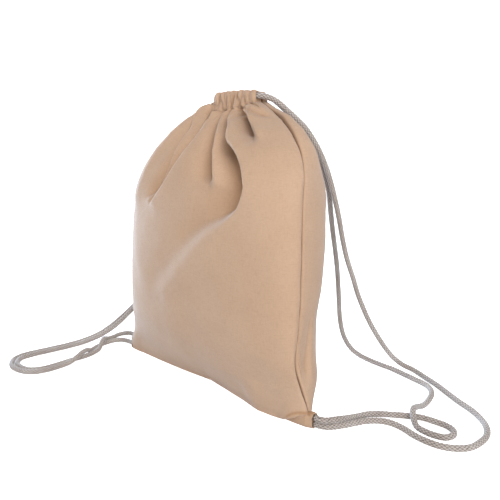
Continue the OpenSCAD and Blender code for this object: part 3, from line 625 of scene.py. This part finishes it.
def panel_object(name, side):
    G, hollow, line = sculpt(side)
    rows, cols = G.shape[:2]
    idx = np.arange(rows * cols).reshape(rows, cols)
    a, b, c, d = idx[:-1, :-1].ravel(), idx[:-1, 1:].ravel(), idx[1:, 1:].ravel(), idx[1:, :-1].ravel()
    faces = np.stack([a, b, c, d], 1) if side < 0 else np.stack([a, d, c, b], 1)
    # cloth coordinates in metres, along the weave
    along = np.concatenate([[0], np.cumsum(np.linalg.norm(np.diff(G[:, cols // 2], axis=0), axis=1))])
    U = np.repeat(np.linspace(-0.185, 0.185, cols)[None], rows, 0) * side * -1
    V = np.repeat((along * MM)[:, None], cols, 1)
    ob = new_mesh(name, row(G.reshape(-1, 3)), faces, np.stack([U.ravel(), V.ravel()], 1))
    # painted shade in the folds and along the seams, passed to the material as point attributes
    tag(ob, "hollow", hollow.ravel())
    tag(ob, "seam_shadow_line", line.ravel())
    weld(ob, 2e-5)
    m = ob.modifiers.new("cloth", "SOLIDIFY")
    m.thickness, m.offset, m.use_even_offset, m.use_rim = 0.0009, -1, False, True
    apply_modifiers(ob)
    ob.data.polygons.foreach_set("use_smooth", [True] * len(ob.data.polygons))
    return ob, G


front, FG = panel_object("front_cloth", -1)
back, BG = panel_object("back_cloth", 1)
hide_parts("front_panel")
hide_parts("back_panel")


# ---------------------------------------------------------------- casings
def casing(name, side, node):
    table = FRONT_GATHERS if side < 0 else BACK_GATHERS
    if side < 0:
        keys = np.array([[-13.2, 35.0, 374.4, 4.8, 7.0], [-10, 33.9, 375.4, 5.7, 9.2], [-5.5, 33.3, 376.1, 6.2, 10.0], [0, 33.25, 376.2, 6.4, 10.2], [22, 33.25, 376.3, 6.5, 10.3],
                         [35, 33.25, 376.1, 6.5, 10.1], [43, 33.25, 375.9, 6.4, 9.5], [50, 33.5, 377.3, 6.0, 7.5], [55, 34.2, 378.2, 6.0, 6.3], [60, 35.5, 378.8, 6.4, 5.4]])
    else:
        keys = np.array([[-16, 58.5, 372.3, 4.7, 5.6], [-12, 57.2, 373.8, 5.6, 8.0], [-7, 56.75, 375.4, 6.2, 9.6], [0, 56.75, 376.0, 6.4, 10.0], [22, 56.75, 376.1, 6.5, 10.1],
                         [36, 56.75, 376.1, 6.5, 10.0], [42, 56.6, 376.4, 6.3, 9.4], [46, 56.4, 377.3, 5.7, 7.8], [49, 56.2, 378.2, 4.9, 5.4]])
    line = catmull(keys[:, :3], 20)
    dims = catmull(np.c_[keys[:, 3:5], np.zeros(len(keys))], 20)[:, :2]
    d = np.r_[0, np.cumsum(np.linalg.norm(np.diff(line, axis=0), axis=1))]
    n = 150
    t = np.linspace(0, d[-1], n)
    C = np.stack([np.interp(t, d, line[:, k]) for k in range(3)], 1)
    W = np.stack([np.interp(t, d, dims[:, k]) for k in range(2)], 1)
    T = np.gradient(C, axis=0); T[:, 2] = 0
    T /= np.linalg.norm(T, axis=1, keepdims=True)
    lat = np.stack([T[:, 1], -T[:, 0], np.zeros(n)], 1) * (1 if side < 0 else -1)     # away from the mouth
    m = 88
    ph = np.linspace(0, 2 * math.pi, m, endpoint=False)           # 0 faces away from the mouth, a quarter turn is up
    c, s = np.cos(ph), np.sin(ph)
    p = np.where((c > 0) & (s < 0), 2 / 7.0, 2 / 3.2)          # the lower outer corner is the stitched hem line
    ex = np.sign(c)[None] * (np.abs(c) ** p)[None]
    ez = np.sign(s)[None] * (np.abs(s) ** p)[None]
    base = C[:, None] + (W[:, 0:1] * ex)[..., None] * lat[:, None] + (W[:, 1:2] * ez)[..., None] * np.array([0, 0, 1])
    nrm = (ex / W[:, 0:1])[..., None] * lat[:, None] + (ez / W[:, 1:2])[..., None] * np.array([0, 0, 1])
    nrm /= np.maximum(np.linalg.norm(nrm, axis=2, keepdims=True), 1e-9)
    outer = step01((c + 0.75) / 0.9)[None]                         # less relief on the side towards the mouth
    g = gather(base[..., 0], base[..., 2], table)
    ends = np.minimum(1, np.minimum(t, t[-1] - t) / 3)[:, None]
    front = step01((c + 0.1) / 0.6)[None]
    h = 1.1 * ends + 1.25 * g * (0.35 + 0.65 * outer) * (0.55 + 0.45 * ends) + front * ends * (1.3 + 0.6 * g)
    wob = undulate(base, 6.0, 31.0 + side, 2)
    h = h + 0.35 * wob
    # row of stitches that closes the hem pulls the cloth in just above the lower edge
    low = np.exp(-((base[..., 2] - (W[:, 1:2] * -0.80 + C[:, 2:3])) / 0.9) ** 2) * (c > 0.2)[None]
    h = h - 0.7 * low
    fh = 0.0; fm = 0.0; face = np.zeros((n, m))
    if side < 0:
        fh, fm = front_folds(base, nrm, lambda pts: np.array([[x, 26.9, z] for x, z in pts], float), True)
        face = step01((c + 0.1) / 0.6)[None] * np.ones((n, 1))
    P = base + nrm * np.clip(h + fh * face, -1.75, 3.2)[..., None] + fm * face[..., None] * 0.6
    # the hem spreads at its lower corners, where the cloth runs out to the shoulders
    down = np.clip((C[:, None, 2] - base[..., 2]) / 10.0, 0, 1)
    left = step01((2 - base[..., 0]) / 14.0)
    P[..., 0] -= 9.0 * left * down ** 1.5
    P[..., 1] += 0.25 * np.sin(P[..., 0] / 3.7)
    idx = np.arange(n * m).reshape(n, m)
    faces = []
    for i in range(n - 1):
        x = C[i, 0]
        for j in range(m):
            k = (j + 1) % m
            z = base[i, j, 2]
            inner = c[j] < -0.45
            if inner and ((x < MX - 4 and 375.0 < z < 385.2) or (x > MX + 4 and 366.6 < z < 377.2)):
                continue                                          # slit through which a cord makes its turn
            f = (idx[i, j], idx[i + 1, j], idx[i + 1, k], idx[i, k])
            faces.append(f if side > 0 else f[::-1])
    girth = np.linspace(0, 0.052, m, endpoint=False)
    uv = np.stack([np.repeat(t * MM * 3.2, m), np.tile(girth, n)], 1)
    ob = new_mesh(name, row(P.reshape(-1, 3)), faces, uv)
    # painted shade in the gathers of the casing: the further the cloth goes in, the darker its tint
    tag(ob, "hollow", (np.clip((1.6 - (h + fh * face)) / 4.5, 0, 1) * np.ones((n, m))).ravel())
    bm = bmesh.new(); bm.from_mesh(ob.data)
    bmesh.ops.delete(bm, geom=[v for v in bm.verts if not v.link_faces], context="VERTS")
    bm.to_mesh(ob.data); bm.free()
    mod = ob.modifiers.new("cloth", "SOLIDIFY")
    mod.thickness, mod.offset, mod.use_even_offset = 0.0009, -1, False
    apply_modifiers(ob)
    ob.data.polygons.foreach_set("use_smooth", [True] * len(ob.data.polygons))
    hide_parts(node)
    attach(ob, "bag")
    return ob, P, nrm, C


front_hem, FP, FN, FC = casing("front_casing_hem", -1, "front_casing")
back_hem, BP, BN, BC = casing("back_casing_hem", 1, "back_casing")


# ---------------------------------------------------------------- stitches
def stitches(name, places, nodes, length=2.5, radius=0.34):
    """Each place is a centre, a direction along the cloth and an outward normal, in seam-frame mm."""
    V, F, U = [], [], []
    rings, sides = 7, 8
    for c, d, nrm in places:
        d = d / np.linalg.norm(d)
        nrm = nrm - (nrm @ d) * d
        nrm /= np.linalg.norm(nrm)
        b = np.cross(d, nrm)
        o = len(V)
        for i in range(rings):
            u = -1 + 2 * i / (rings - 1)
            r = radius * max(0.25, math.sqrt(max(0, 1 - abs(u) ** 3)))
            centre = c + d * u * length / 2 + nrm * radius * 0.9 * (1 - u * u) - nrm * 0.25
            for j in range(sides):
                a = 2 * math.pi * j / sides
                rr = r * (1 + 0.14 * math.cos(3 * a + 5 * u))
                V.append(centre + rr * (math.cos(a) * nrm + math.sin(a) * b))
                U.append((u * length / 2 * MM, j / sides * 0.002))
        for i in range(rings - 1):
            for j in range(sides):
                k = (j + 1) % sides
                F.append((o + i * sides + j, o + i * sides + k, o + (i + 1) * sides + k, o + (i + 1) * sides + j))
        F.append(tuple(o + j for j in range(sides))[::-1])
        F.append(tuple(o + (rings - 1) * sides + j for j in range(sides)))
    ob = new_mesh(name, row(np.array(V)), F, U)
    if nodes:
        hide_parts(*nodes)
    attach(ob, "bag")
    return ob


def casing_stitches(name, node, P, N, C, side):
    """Along the stitch line of the hem, following the gathers."""
    m = P.shape[1]
    ph = np.linspace(0, 2 * math.pi, m, endpoint=False)
    j = int(np.abs(ph - (2 * math.pi - 0.72)).argmin())
    line = P[:, j]
    s = np.r_[0, np.cumsum(np.linalg.norm(np.diff(line, axis=0), axis=1))]
    places = []
    for u in np.arange(7.0, s[-1] - 8.0, 3.3):
        c = np.array([np.interp(u, s, line[:, k]) for k in range(3)])
        a = np.array([np.interp(u - 1.2, s, line[:, k]) for k in range(3)])
        b = np.array([np.interp(u + 1.2, s, line[:, k]) for k in range(3)])
        n = np.array([np.interp(u, s, N[:, j, k]) for k in range(3)])
        places.append((c, b - a, n))
    return stitches(name, places, [node])


front_stitch = casing_stitches("front_casing_stitches", "front_casing_thread", FP, FN, FC, -1)
back_stitch = casing_stitches("back_casing_stitches", "back_casing_thread", BP, BN, BC, 1)


# ---------------------------------------------------------------- corner tabs
def corner_tab(side, name, node):
    """A folded cloth corner that closes round the two cord ends."""
    keys = np.array([  # x, y middle, z low, z high, half thickness at the fold edge
        [146, -4.2, 0.4, 2.4, 0.7], [150, -4.2, 0.4, 5.4, 1.0], [156, -3.6, 0.4, 10.6, 1.6], [162, -2.6, 0.4, 15.0, 2.6], [168.5, -1.4, 0.4, 17.6, 3.7], [174, -0.4, 0.5, 18.0, 4.6],
        [178.5, 1.6, 0.7, 17.8, 4.9], [182.5, 2.3, 1.0, 17.5, 4.9]])
    line = catmull(keys[:, :3], 8)
    rest = catmull(np.c_[keys[:, 3:5], np.zeros(len(keys))], 8)
    n, m = len(line), 56
    ph = np.linspace(0, 2 * math.pi, m, endpoint=False)
    c, s = np.cos(ph), np.sin(ph)
    rows_ = []
    for i in range(n):
        x, y, z0 = line[i]
        z1, ht = rest[i, 0], rest[i, 1]
        zc, hz = (z0 + z1) / 2, (z1 - z0) / 2
        pw = 2 / 2.8
        yy = ht * np.sign(c) * np.abs(c) ** pw
        zz = hz * np.sign(s) * np.abs(s) ** pw
        # cloth draws in between the two cords and swells over each of them
        u = min(1, max(0, (x - 166) / 14))
        waist = 1 - 0.13 * u * np.exp(-((zz + zc - (T0 + T1) / 2) / 1.6) ** 2)
        rows_.append(np.stack([np.full(m, x), y + yy * waist, zc + zz], 1))
    P = np.array(rows_)
    w = undulate(P, 7.0, 50.0 + side, 2)
    P[..., 1] += 0.45 * w * np.sign(c)[None]
    P[-1, :, 0] += 0.5 * np.sin(3 * ph + side)
    if side < 0:
        P[..., 1] += 9.0 * np.clip((180 - P[..., 0]) / 14, 0, 1)
    P[..., 0] *= side
    P[..., 2] = np.maximum(P[..., 2], 0.3)
    idx = np.arange(n * m).reshape(n, m)
    faces = [(idx[i, j], idx[i, (j + 1) % m], idx[i + 1, (j + 1) % m], idx[i + 1, j]) for i in range(n - 1) for j in range(m)]
    if side > 0:
        faces = [f[::-1] for f in faces]
    uv = np.stack([np.repeat(np.abs(P[:, 0, 0]) * MM, m), np.tile(np.linspace(0, 0.05, m), n)], 1)
    ob = new_mesh(name, row(P.reshape(-1, 3)), faces, uv)
    # painted shadow along the top of the right tab, under the overhanging crease, with a faint painted shade over the
    # rest of its middle; the left tab gets none
    tag(ob, "hollow", (0.22 + 0.78 * np.exp(-(np.clip(P[..., 2].max(1, keepdims=True) - P[..., 2], 0, 99) / 3.0) ** 2) * step01((P[..., 0] * side - 144) / 5) * step01((186 - P[..., 0] * side) / 8) if side > 0 else np.zeros(P.shape[:2])).ravel())
    mod = ob.modifiers.new("cloth", "SOLIDIFY")
    mod.thickness, mod.offset, mod.use_even_offset = 0.001, -1, False
    apply_modifiers(ob)
    ob.data.polygons.foreach_set("use_smooth", [True] * len(ob.data.polygons))
    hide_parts(node)
    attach(ob, "bag")
    return ob, P, line, rest


tabs = []
for side, name, node, tack, tack_node in ((1, "right_corner_flap", "right_corner_tab", "right_flap_tack", "right_bartack"), (-1, "left_corner_flap", "left_corner_tab", "left_flap_tack", "left_bartack")):
    ob, P, line, rest = corner_tab(side, name, node)
    tabs.append(ob)
    places = []
    k = int(np.abs(line[:, 0] - 178.9).argmin())
    face = P[k]
    sel = face[np.argsort(face[:, 2])]
    sel = sel[sel[:, 1] < 1.5]
    for z in np.arange(2.4, 15.2, 1.15):
        y = float(np.interp(z, sel[:, 2], sel[:, 1]))
        places.append((np.array([side * (178.9 + (0.5 if int(z * 10) % 2 else -0.5)), y - 0.05, z]), np.array([1.0, 0, 0.22 if int(z * 10) % 2 else -0.22]), np.array([0, -1.0, 0])))
    tabs.append(stitches(tack, places, [tack_node], length=2.6, radius=0.33))


# ---------------------------------------------------------------- seam allowances and their stitches, inside
def side_allowance(side, name, node, tname, tnode):
    fs = np.linspace(0.03, 0.955, 120)
    V, F, U, places = [], [], [], []
    lay = np.array([0, 2.5, 5, 7.5, 10.0])
    for i, f in enumerate(fs):
        x0 = curve(KEYS, 2, f)[0] + side * (curve(KEYS, 1, f)[0] * HALF_B - 2.9)
        y0 = curve(KEYS, 3, f)[0]
        z = f * PANEL_H
        wave = 0.9 * math.sin(z / 9.0) + 0.6 * math.sin(z / 23.0 + 1)
        for k, l in enumerate(lay):
            fray = 0.35 * math.sin(z * 2.1) if k == 4 else 0
            V.append([x0 - side * (l + fray), y0 + wave * (l / 10) ** 1.5, z])
            U.append((l * MM, z * MM))
        if i % 2 == 0:
            places.append((np.array([x0 - side * 3.0, y0 - 0.75 + wave * 0.16, z]), np.array([0, 0, 1.0]), np.array([0, -1.0, 0])))
    m = len(lay)
    for i in range(len(fs) - 1):
        for k in range(m - 1):
            F.append((i * m + k, i * m + k + 1, (i + 1) * m + k + 1, (i + 1) * m + k))
    ob = new_mesh(name, row(np.array(V)), F, U)
    mod = ob.modifiers.new("cloth", "SOLIDIFY")
    mod.thickness, mod.offset = 0.0014, 0
    apply_modifiers(ob)
    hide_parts(node)
    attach(ob, "bag")
    return ob, stitches(tname, places, [tnode], length=2.2, radius=0.3)


def bottom_allowance():
    xs = np.linspace(-152, 152, 150)
    V, F, U, places = [], [], [], []
    lay = np.array([0.6, 3, 5.5, 8, 10.6])
    for i, x in enumerate(xs):
        wave = 0.5 * math.sin(x / 11.0) + 0.3 * math.sin(x / 4.3)
        for k, l in enumerate(lay):
            fray = 0.3 * math.sin(x * 1.9) if k == 4 else 0
            V.append([x, l + fray, 3.4 + 0.5 * wave * l / 10])
            U.append((x * MM, l * MM))
        if i % 2 == 0:
            places.append((np.array([x, 3.6, 4.3 + 0.18 * wave]), np.array([1.0, 0, 0]), np.array([0, 0, 1.0])))
    m = len(lay)
    for i in range(len(xs) - 1):
        for k in range(m - 1):
            F.append((i * m + k, (i + 1) * m + k, (i + 1) * m + k + 1, i * m + k + 1))
    ob = new_mesh("bottom_allowance", row(np.array(V)), F, U)
    mod = ob.modifiers.new("cloth", "SOLIDIFY")
    mod.thickness, mod.offset = 0.0014, 0
    apply_modifiers(ob)
    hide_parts("bottom_seam_allowance")
    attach(ob, "bag")
    return ob, stitches("bottom_seam_stitches", places, ["bottom_seam_thread"], length=2.6, radius=0.3)


ra, rt = side_allowance(1, "right_allowance", "right_seam_allowance", "right_seam_stitches", "right_seam_thread")
la, lt = side_allowance(-1, "left_allowance", "left_seam_allowance", "left_seam_stitches", "left_seam_thread")
ba, bt = bottom_allowance()

for ob in (front, back):
    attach(ob, "bag")


# ---------------------------------------------------------------- materials
def material(name):
    mat = bpy.data.materials.new(name)
    mat.use_nodes = True
    nt = mat.node_tree
    return mat, nt, nt.nodes["Principled BSDF"]


def node(nt, kind, **values):
    n = nt.nodes.new(kind)
    for k, v in values.items():
        if k in n.inputs:
            n.inputs[k].default_value = v
        else:
            setattr(n, k, v)
    return n


def mapping(nt, source, scale, rotation=(0, 0, 0)):
    m = nt.nodes.new("ShaderNodeMapping")
    m.inputs["Scale"].default_value = scale
    m.inputs["Rotation"].default_value = rotation
    nt.links.new(source, m.inputs["Vector"])
    return m.outputs["Vector"]


def math_node(nt, op, a, b=None, clamp=False):
    m = nt.nodes.new("ShaderNodeMath")
    m.operation, m.use_clamp = op, clamp
    for k, v in ((0, a), (1, b)):
        if v is None:
            continue
        if isinstance(v, (int, float)):
            m.inputs[k].default_value = v
        else:
            nt.links.new(v, m.inputs[k])
    return m.outputs[0]


def ramp(nt, fac, stops):
    r = nt.nodes.new("ShaderNodeValToRGB")
    nt.links.new(fac, r.inputs["Fac"])
    e = r.color_ramp.elements
    while len(e) < len(stops):
        e.new(0.5)
    for k, (p, c) in enumerate(stops):
        e[k].position = p
        e[k].color = (*c, 1) if len(c) == 3 else c
    return r.outputs["Color"]


def mix(nt, kind, fac, a, b):
    m = nt.nodes.new("ShaderNodeMix")
    m.data_type, m.blend_type = "RGBA", kind
    for sock, v in ((m.inputs[0], fac), (m.inputs[6], a), (m.inputs[7], b)):
        if isinstance(v, (int, float)):
            sock.default_value = v
        elif isinstance(v, tuple):
            sock.default_value = (*v, 1)
        else:
            nt.links.new(v, sock)
    return m.outputs[2]


def canvas_material(name, tone, deep, pitch=0.00075, bump=0.55):
    """Plain-woven natural cotton: crossed yarns, slubs, soft colour drift, and painted shade in the creases, the folds
    and along the seams.
    """
    mat, nt, bs = material(name)
    co = nt.nodes.new("ShaderNodeTexCoord")
    uv, ob = co.outputs["UV"], co.outputs["Object"]
    # yarns
    wx = node(nt, "ShaderNodeTexWave", wave_type="BANDS", bands_direction="X", wave_profile="SIN", Scale=1.0, Distortion=0.6, Detail=1.0)
    wx.inputs["Detail Scale"].default_value = 2.0
    nt.links.new(mapping(nt, uv, (0.314 / pitch, 0.314 / pitch, 1)), wx.inputs["Vector"])
    wy = node(nt, "ShaderNodeTexWave", wave_type="BANDS", bands_direction="Y", wave_profile="SIN", Scale=1.0, Distortion=0.6, Detail=1.0)
    wy.inputs["Detail Scale"].default_value = 2.0
    nt.links.new(mapping(nt, uv, (0.314 / pitch, 0.314 / pitch, 1)), wy.inputs["Vector"])
    weave = math_node(nt, "MAXIMUM", wx.outputs["Fac"], wy.outputs["Fac"])
    weave = math_node(nt, "MULTIPLY", weave, 0.5)
    # slubs: thick places along single yarns
    s1 = node(nt, "ShaderNodeTexNoise", Scale=1.0, Detail=1.5, Roughness=0.5)
    nt.links.new(mapping(nt, uv, (110, 950, 1)), s1.inputs["Vector"])
    s2 = node(nt, "ShaderNodeTexNoise", Scale=1.0, Detail=1.5, Roughness=0.5)
    nt.links.new(mapping(nt, uv, (950, 90, 1)), s2.inputs["Vector"])
    slub_a = ramp(nt, s1.outputs["Fac"], [(0.60, (0, 0, 0)), (0.74, (1, 1, 1))])
    slub_b = ramp(nt, s2.outputs["Fac"], [(0.62, (0, 0, 0)), (0.76, (1, 1, 1))])
    slub = math_node(nt, "MAXIMUM", slub_a, slub_b)
    fine = node(nt, "ShaderNodeTexNoise", Scale=420.0, Detail=3.0, Roughness=0.6)
    nt.links.new(ob, fine.inputs["Vector"])
    broad = node(nt, "ShaderNodeTexNoise", Scale=9.0, Detail=3.0, Roughness=0.55)
    nt.links.new(ob, broad.inputs["Vector"])
    # colour
    base = ramp(nt, broad.outputs["Fac"], [(0.30, tuple(c * k for c, k in zip(tone, (0.955, 0.945, 0.935)))), (0.50, tone), (0.70, tuple(c * k for c, k in zip(tone, (1.03, 1.045, 1.07))))])
    streak = ramp(nt, s1.outputs["Fac"], [(0.25, (0.90, 0.885, 0.86)), (0.45, (1, 1, 1)), (0.62, (1, 1, 1)), (0.8, (1.05, 1.05, 1.05))])
    col = mix(nt, "MULTIPLY", 0.75, base, streak)
    streak2 = ramp(nt, s2.outputs["Fac"], [(0.25, (0.91, 0.90, 0.88)), (0.45, (1, 1, 1)), (0.8, (1.04, 1.04, 1.04))])
    col = mix(nt, "MULTIPLY", 0.55, col, streak2)
    grain = ramp(nt, fine.outputs["Fac"], [(0.3, (0.94, 0.935, 0.93)), (0.7, (1.04, 1.04, 1.04))])
    col = mix(nt, "MULTIPLY", 0.7, col, grain)
    yarn = ramp(nt, weave, [(0.05, (0.90, 0.885, 0.87)), (0.45, (1.02, 1.02, 1.02))])
    col = mix(nt, "MULTIPLY", 0.5, col, yarn)
    # painted shade: concave creases (low pointiness) are tinted towards the deep colour; sharp ridges are lightened a
    # little as wear
    geo = nt.nodes.new("ShaderNodeNewGeometry")
    wear_and_crease_shade = ramp(nt, geo.outputs["Pointiness"], [(0.44, deep), (0.495, (1, 1, 1)), (0.51, (1, 1, 1)), (0.56, (1.05, 1.05, 1.05))])
    col = mix(nt, "MULTIPLY", 0.8, col, wear_and_crease_shade)
    # painted shade: the fold attribute tints the cloth towards warm brown in folds, gathers and the tuck
    hollow = nt.nodes.new("ShaderNodeAttribute")
    hollow.attribute_name = "hollow"
    shade = ramp(nt, hollow.outputs["Fac"], [(0.0, (1, 1, 1)), (0.12, (0.99, 0.98, 0.97)), (0.5, (0.92, 0.87, 0.81)), (1.0, (0.74, 0.61, 0.48))])
    col = mix(nt, "MULTIPLY", 1.0, col, shade)
    # painted shade: a dark brown line tinted along the side seams
    seam = nt.nodes.new("ShaderNodeAttribute")
    seam.attribute_name = "seam_shadow_line"
    dark = ramp(nt, seam.outputs["Fac"], [(0.15, (1, 1, 1)), (0.9, (0.50, 0.41, 0.34))])
    col = mix(nt, "MULTIPLY", 1.0, col, dark)
    nt.links.new(col, bs.inputs["Base Color"])
    # roughness and bump
    rough = ramp(nt, fine.outputs["Fac"], [(0.3, (0.84, 0.84, 0.84)), (0.7, (0.95, 0.95, 0.95))])
    nt.links.new(rough, bs.inputs["Roughness"])
    h = math_node(nt, "ADD", weave, math_node(nt, "MULTIPLY", slub, 0.45))
    h = math_node(nt, "ADD", h, math_node(nt, "MULTIPLY", fine.outputs["Fac"], 0.5))
    b = node(nt, "ShaderNodeBump", Strength=bump, Distance=0.00028)
    nt.links.new(h, b.inputs["Height"])
    nt.links.new(b.outputs["Normal"], bs.inputs["Normal"])
    bs.inputs["Specular IOR Level"].default_value = 0.18
    bs.inputs["Sheen Weight"].default_value = 0.30
    bs.inputs["Sheen Roughness"].default_value = 0.45
    bs.inputs["Sheen Tint"].default_value = (0.90, 0.93, 1.0, 1)
    return mat


def rope_material():
    """Bleached cotton yarn of the braid: fine fibres along the yarns, painted grey-pink shade between them and painted
    light on their crowns.
    """
    mat, nt, bs = material("cotton_rope")
    co = nt.nodes.new("ShaderNodeTexCoord")
    uv, ob = co.outputs["UV"], co.outputs["Object"]
    fib = node(nt, "ShaderNodeTexNoise", Scale=1.0, Detail=3.0, Roughness=0.6)
    nt.links.new(mapping(nt, uv, (900, 2600, 1), (0, 0, math.radians(42))), fib.inputs["Vector"])
    fine = node(nt, "ShaderNodeTexNoise", Scale=900.0, Detail=2.0, Roughness=0.6)
    nt.links.new(ob, fine.inputs["Vector"])
    broad = node(nt, "ShaderNodeTexNoise", Scale=26.0, Detail=2.0, Roughness=0.5)
    nt.links.new(ob, broad.inputs["Vector"])
    base = ramp(nt, broad.outputs["Fac"], [(0.32, (0.39, 0.340, 0.312)), (0.5, (0.44, 0.392, 0.364)), (0.68, (0.48, 0.442, 0.418))])
    g = ramp(nt, fib.outputs["Fac"], [(0.3, (0.86, 0.85, 0.84)), (0.65, (1.06, 1.06, 1.06))])
    col = mix(nt, "MULTIPLY", 0.8, base, g)
    # painted shade between the yarns of the braid and painted light on their crowns, taken from the braid height
    lift = nt.nodes.new("ShaderNodeAttribute")
    lift.attribute_name = "lift"
    braid_shade = ramp(nt, lift.outputs["Fac"], [(0.12, (0.12, 0.10, 0.09)), (0.42, (0.60, 0.57, 0.55)), (0.75, (1.22, 1.22, 1.22))])
    col = mix(nt, "MULTIPLY", 0.9, col, braid_shade)
    nt.links.new(col, bs.inputs["Base Color"])
    rough = ramp(nt, fine.outputs["Fac"], [(0.3, (0.80, 0.80, 0.80)), (0.7, (0.95, 0.95, 0.95))])
    nt.links.new(rough, bs.inputs["Roughness"])
    h = math_node(nt, "ADD", fib.outputs["Fac"], math_node(nt, "MULTIPLY", fine.outputs["Fac"], 0.5))
    b = node(nt, "ShaderNodeBump", Strength=0.6, Distance=0.00025)
    nt.links.new(h, b.inputs["Height"])
    nt.links.new(b.outputs["Normal"], bs.inputs["Normal"])
    bs.inputs["Specular IOR Level"].default_value = 0.2
    bs.inputs["Sheen Weight"].default_value = 0.35
    bs.inputs["Sheen Roughness"].default_value = 0.5
    bs.inputs["Sheen Tint"].default_value = (0.95, 0.96, 1.0, 1)
    return mat


def thread_material():
    mat, nt, bs = material("sewing_thread")
    co = nt.nodes.new("ShaderNodeTexCoord")
    w = node(nt, "ShaderNodeTexWave", wave_type="BANDS", bands_direction="DIAGONAL", wave_profile="SIN", Scale=1.0, Distortion=1.0, Detail=1.0)
    nt.links.new(mapping(nt, co.outputs["UV"], (900, 900, 1)), w.inputs["Vector"])
    n2 = node(nt, "ShaderNodeTexNoise", Scale=300.0, Detail=2.0)
    nt.links.new(co.outputs["Object"], n2.inputs["Vector"])
    c = ramp(nt, w.outputs["Fac"], [(0.1, (0.40, 0.265, 0.175)), (0.8, (0.58, 0.40, 0.28))])
    v = ramp(nt, n2.outputs["Fac"], [(0.3, (0.9, 0.9, 0.9)), (0.7, (1.06, 1.06, 1.06))])
    nt.links.new(mix(nt, "MULTIPLY", 0.8, c, v), bs.inputs["Base Color"])
    r = ramp(nt, n2.outputs["Fac"], [(0.3, (0.55, 0.55, 0.55)), (0.7, (0.75, 0.75, 0.75))])
    nt.links.new(r, bs.inputs["Roughness"])
    b = node(nt, "ShaderNodeBump", Strength=0.6, Distance=0.0001)
    nt.links.new(w.outputs["Fac"], b.inputs["Height"])
    nt.links.new(b.outputs["Normal"], bs.inputs["Normal"])
    bs.inputs["Sheen Weight"].default_value = 0.2
    return mat


# the third colour in each call is the painted shade tint for concave creases
canvas_mat = canvas_material("cotton_canvas", (0.486, 0.326, 0.220), (0.80, 0.72, 0.64))
hem_mat = canvas_material("cotton_hem", (0.462, 0.308, 0.208), (0.74, 0.64, 0.54))
rope_mat = rope_material()
thread_mat = thread_material()


def wear(ob, mat):
    ob.data.materials.clear()
    ob.data.materials.append(mat)


for ob in (front, back, *[t for t in tabs if "flap_tack" not in t.name]):
    wear(ob, canvas_mat)
for ob in (front_hem, back_hem, ra, la, ba):
    wear(ob, hem_mat)
for ob in (front_stitch, back_stitch, rt, lt, bt, *[t for t in tabs if "flap_tack" in t.name]):
    wear(ob, thread_mat)
for ob in cords.values():
    wear(ob, rope_mat)


# ---------------------------------------------------------------- floor and light
def cyclorama():
    """A pale floor that curves up into a wall all round."""
    prof = [(0.0, 0.0), (0.3, 0.0), (0.8, 0.0), (1.6, 0.0), (2.4, 0.0)]
    prof += [(2.4 + 1.2 * math.sin(a), 1.2 - 1.2 * math.cos(a)) for a in np.linspace(0.15, math.pi / 2, 10)]
    prof += [(3.6, 2.0), (3.6, 3.0)]
    n = 96
    V = [(0, 0, 0)]
    F = []
    for r, z in prof[1:]:
        V += [(r * math.cos(2 * math.pi * k / n), r * math.sin(2 * math.pi * k / n), z) for k in range(n)]
    F += [(0, 1 + k, 1 + (k + 1) % n) for k in range(n)]
    for i in range(len(prof) - 2):
        a, b = 1 + i * n, 1 + (i + 1) * n
        F += [(a + k, b + k, b + (k + 1) % n, a + (k + 1) % n) for k in range(n)]
    ob = new_mesh("studio_floor", np.array(V), F)
    mat, nt, bs = material("studio_white")
    bs.inputs["Base Color"].default_value = (0.80, 0.80, 0.80, 1)
    bs.inputs["Roughness"].default_value = 0.9
    bs.inputs["Specular IOR Level"].default_value = 0.1
    bs.inputs["Emission Color"].default_value = (1, 1, 1, 1)
    # the backdrop is overexposed in the picture, and its light on the bag stays soft and weak
    path = nt.nodes.new("ShaderNodeLightPath")
    nt.links.new(math_node(nt, "MULTIPLY", path.outputs["Is Camera Ray"], 0.95), bs.inputs["Emission Strength"])
    ob.data.materials.append(mat)
    return ob


cyclorama()


def area_light(name, where, target, size, power, colour):
    d = bpy.data.lights.new(name, "AREA")
    d.shape, d.size, d.energy, d.color = "DISK", size, power, colour
    o = bpy.data.objects.new(name, d)
    bpy.context.scene.collection.objects.link(o)
    o.location = where
    o.rotation_euler = (Vector(target) - Vector(where)).to_track_quat("-Z", "Y").to_euler()
    return o


area_light("key", (1.85, -0.95, 1.25), (0.02, 0.0, 0.2), 1.6, 38, (1.0, 0.985, 0.965))
area_light("fill", (0.7, -2.0, 1.1), (0.0, 0.0, 0.18), 1.4, 11, (1.0, 0.98, 0.96))
area_light("cool_side", (-1.85, 0.10, 0.34), (-0.1, 0.0, 0.10), 0.9, 84, (0.64, 0.81, 1.0))
area_light("back_top", (-0.3, 1.7, 1.8), (0.0, 0.1, 0.2), 1.5, 9, (0.97, 0.98, 1.0))

world = bpy.data.worlds.new("studio")
bpy.context.scene.world = world
world.use_nodes = True
bg = world.node_tree.nodes["Background"]
bg.inputs["Color"].default_value = (1, 1, 1, 1)
bg.inputs["Strength"].default_value = 0.30
bpy.context.scene.view_settings.view_transform = "Standard"
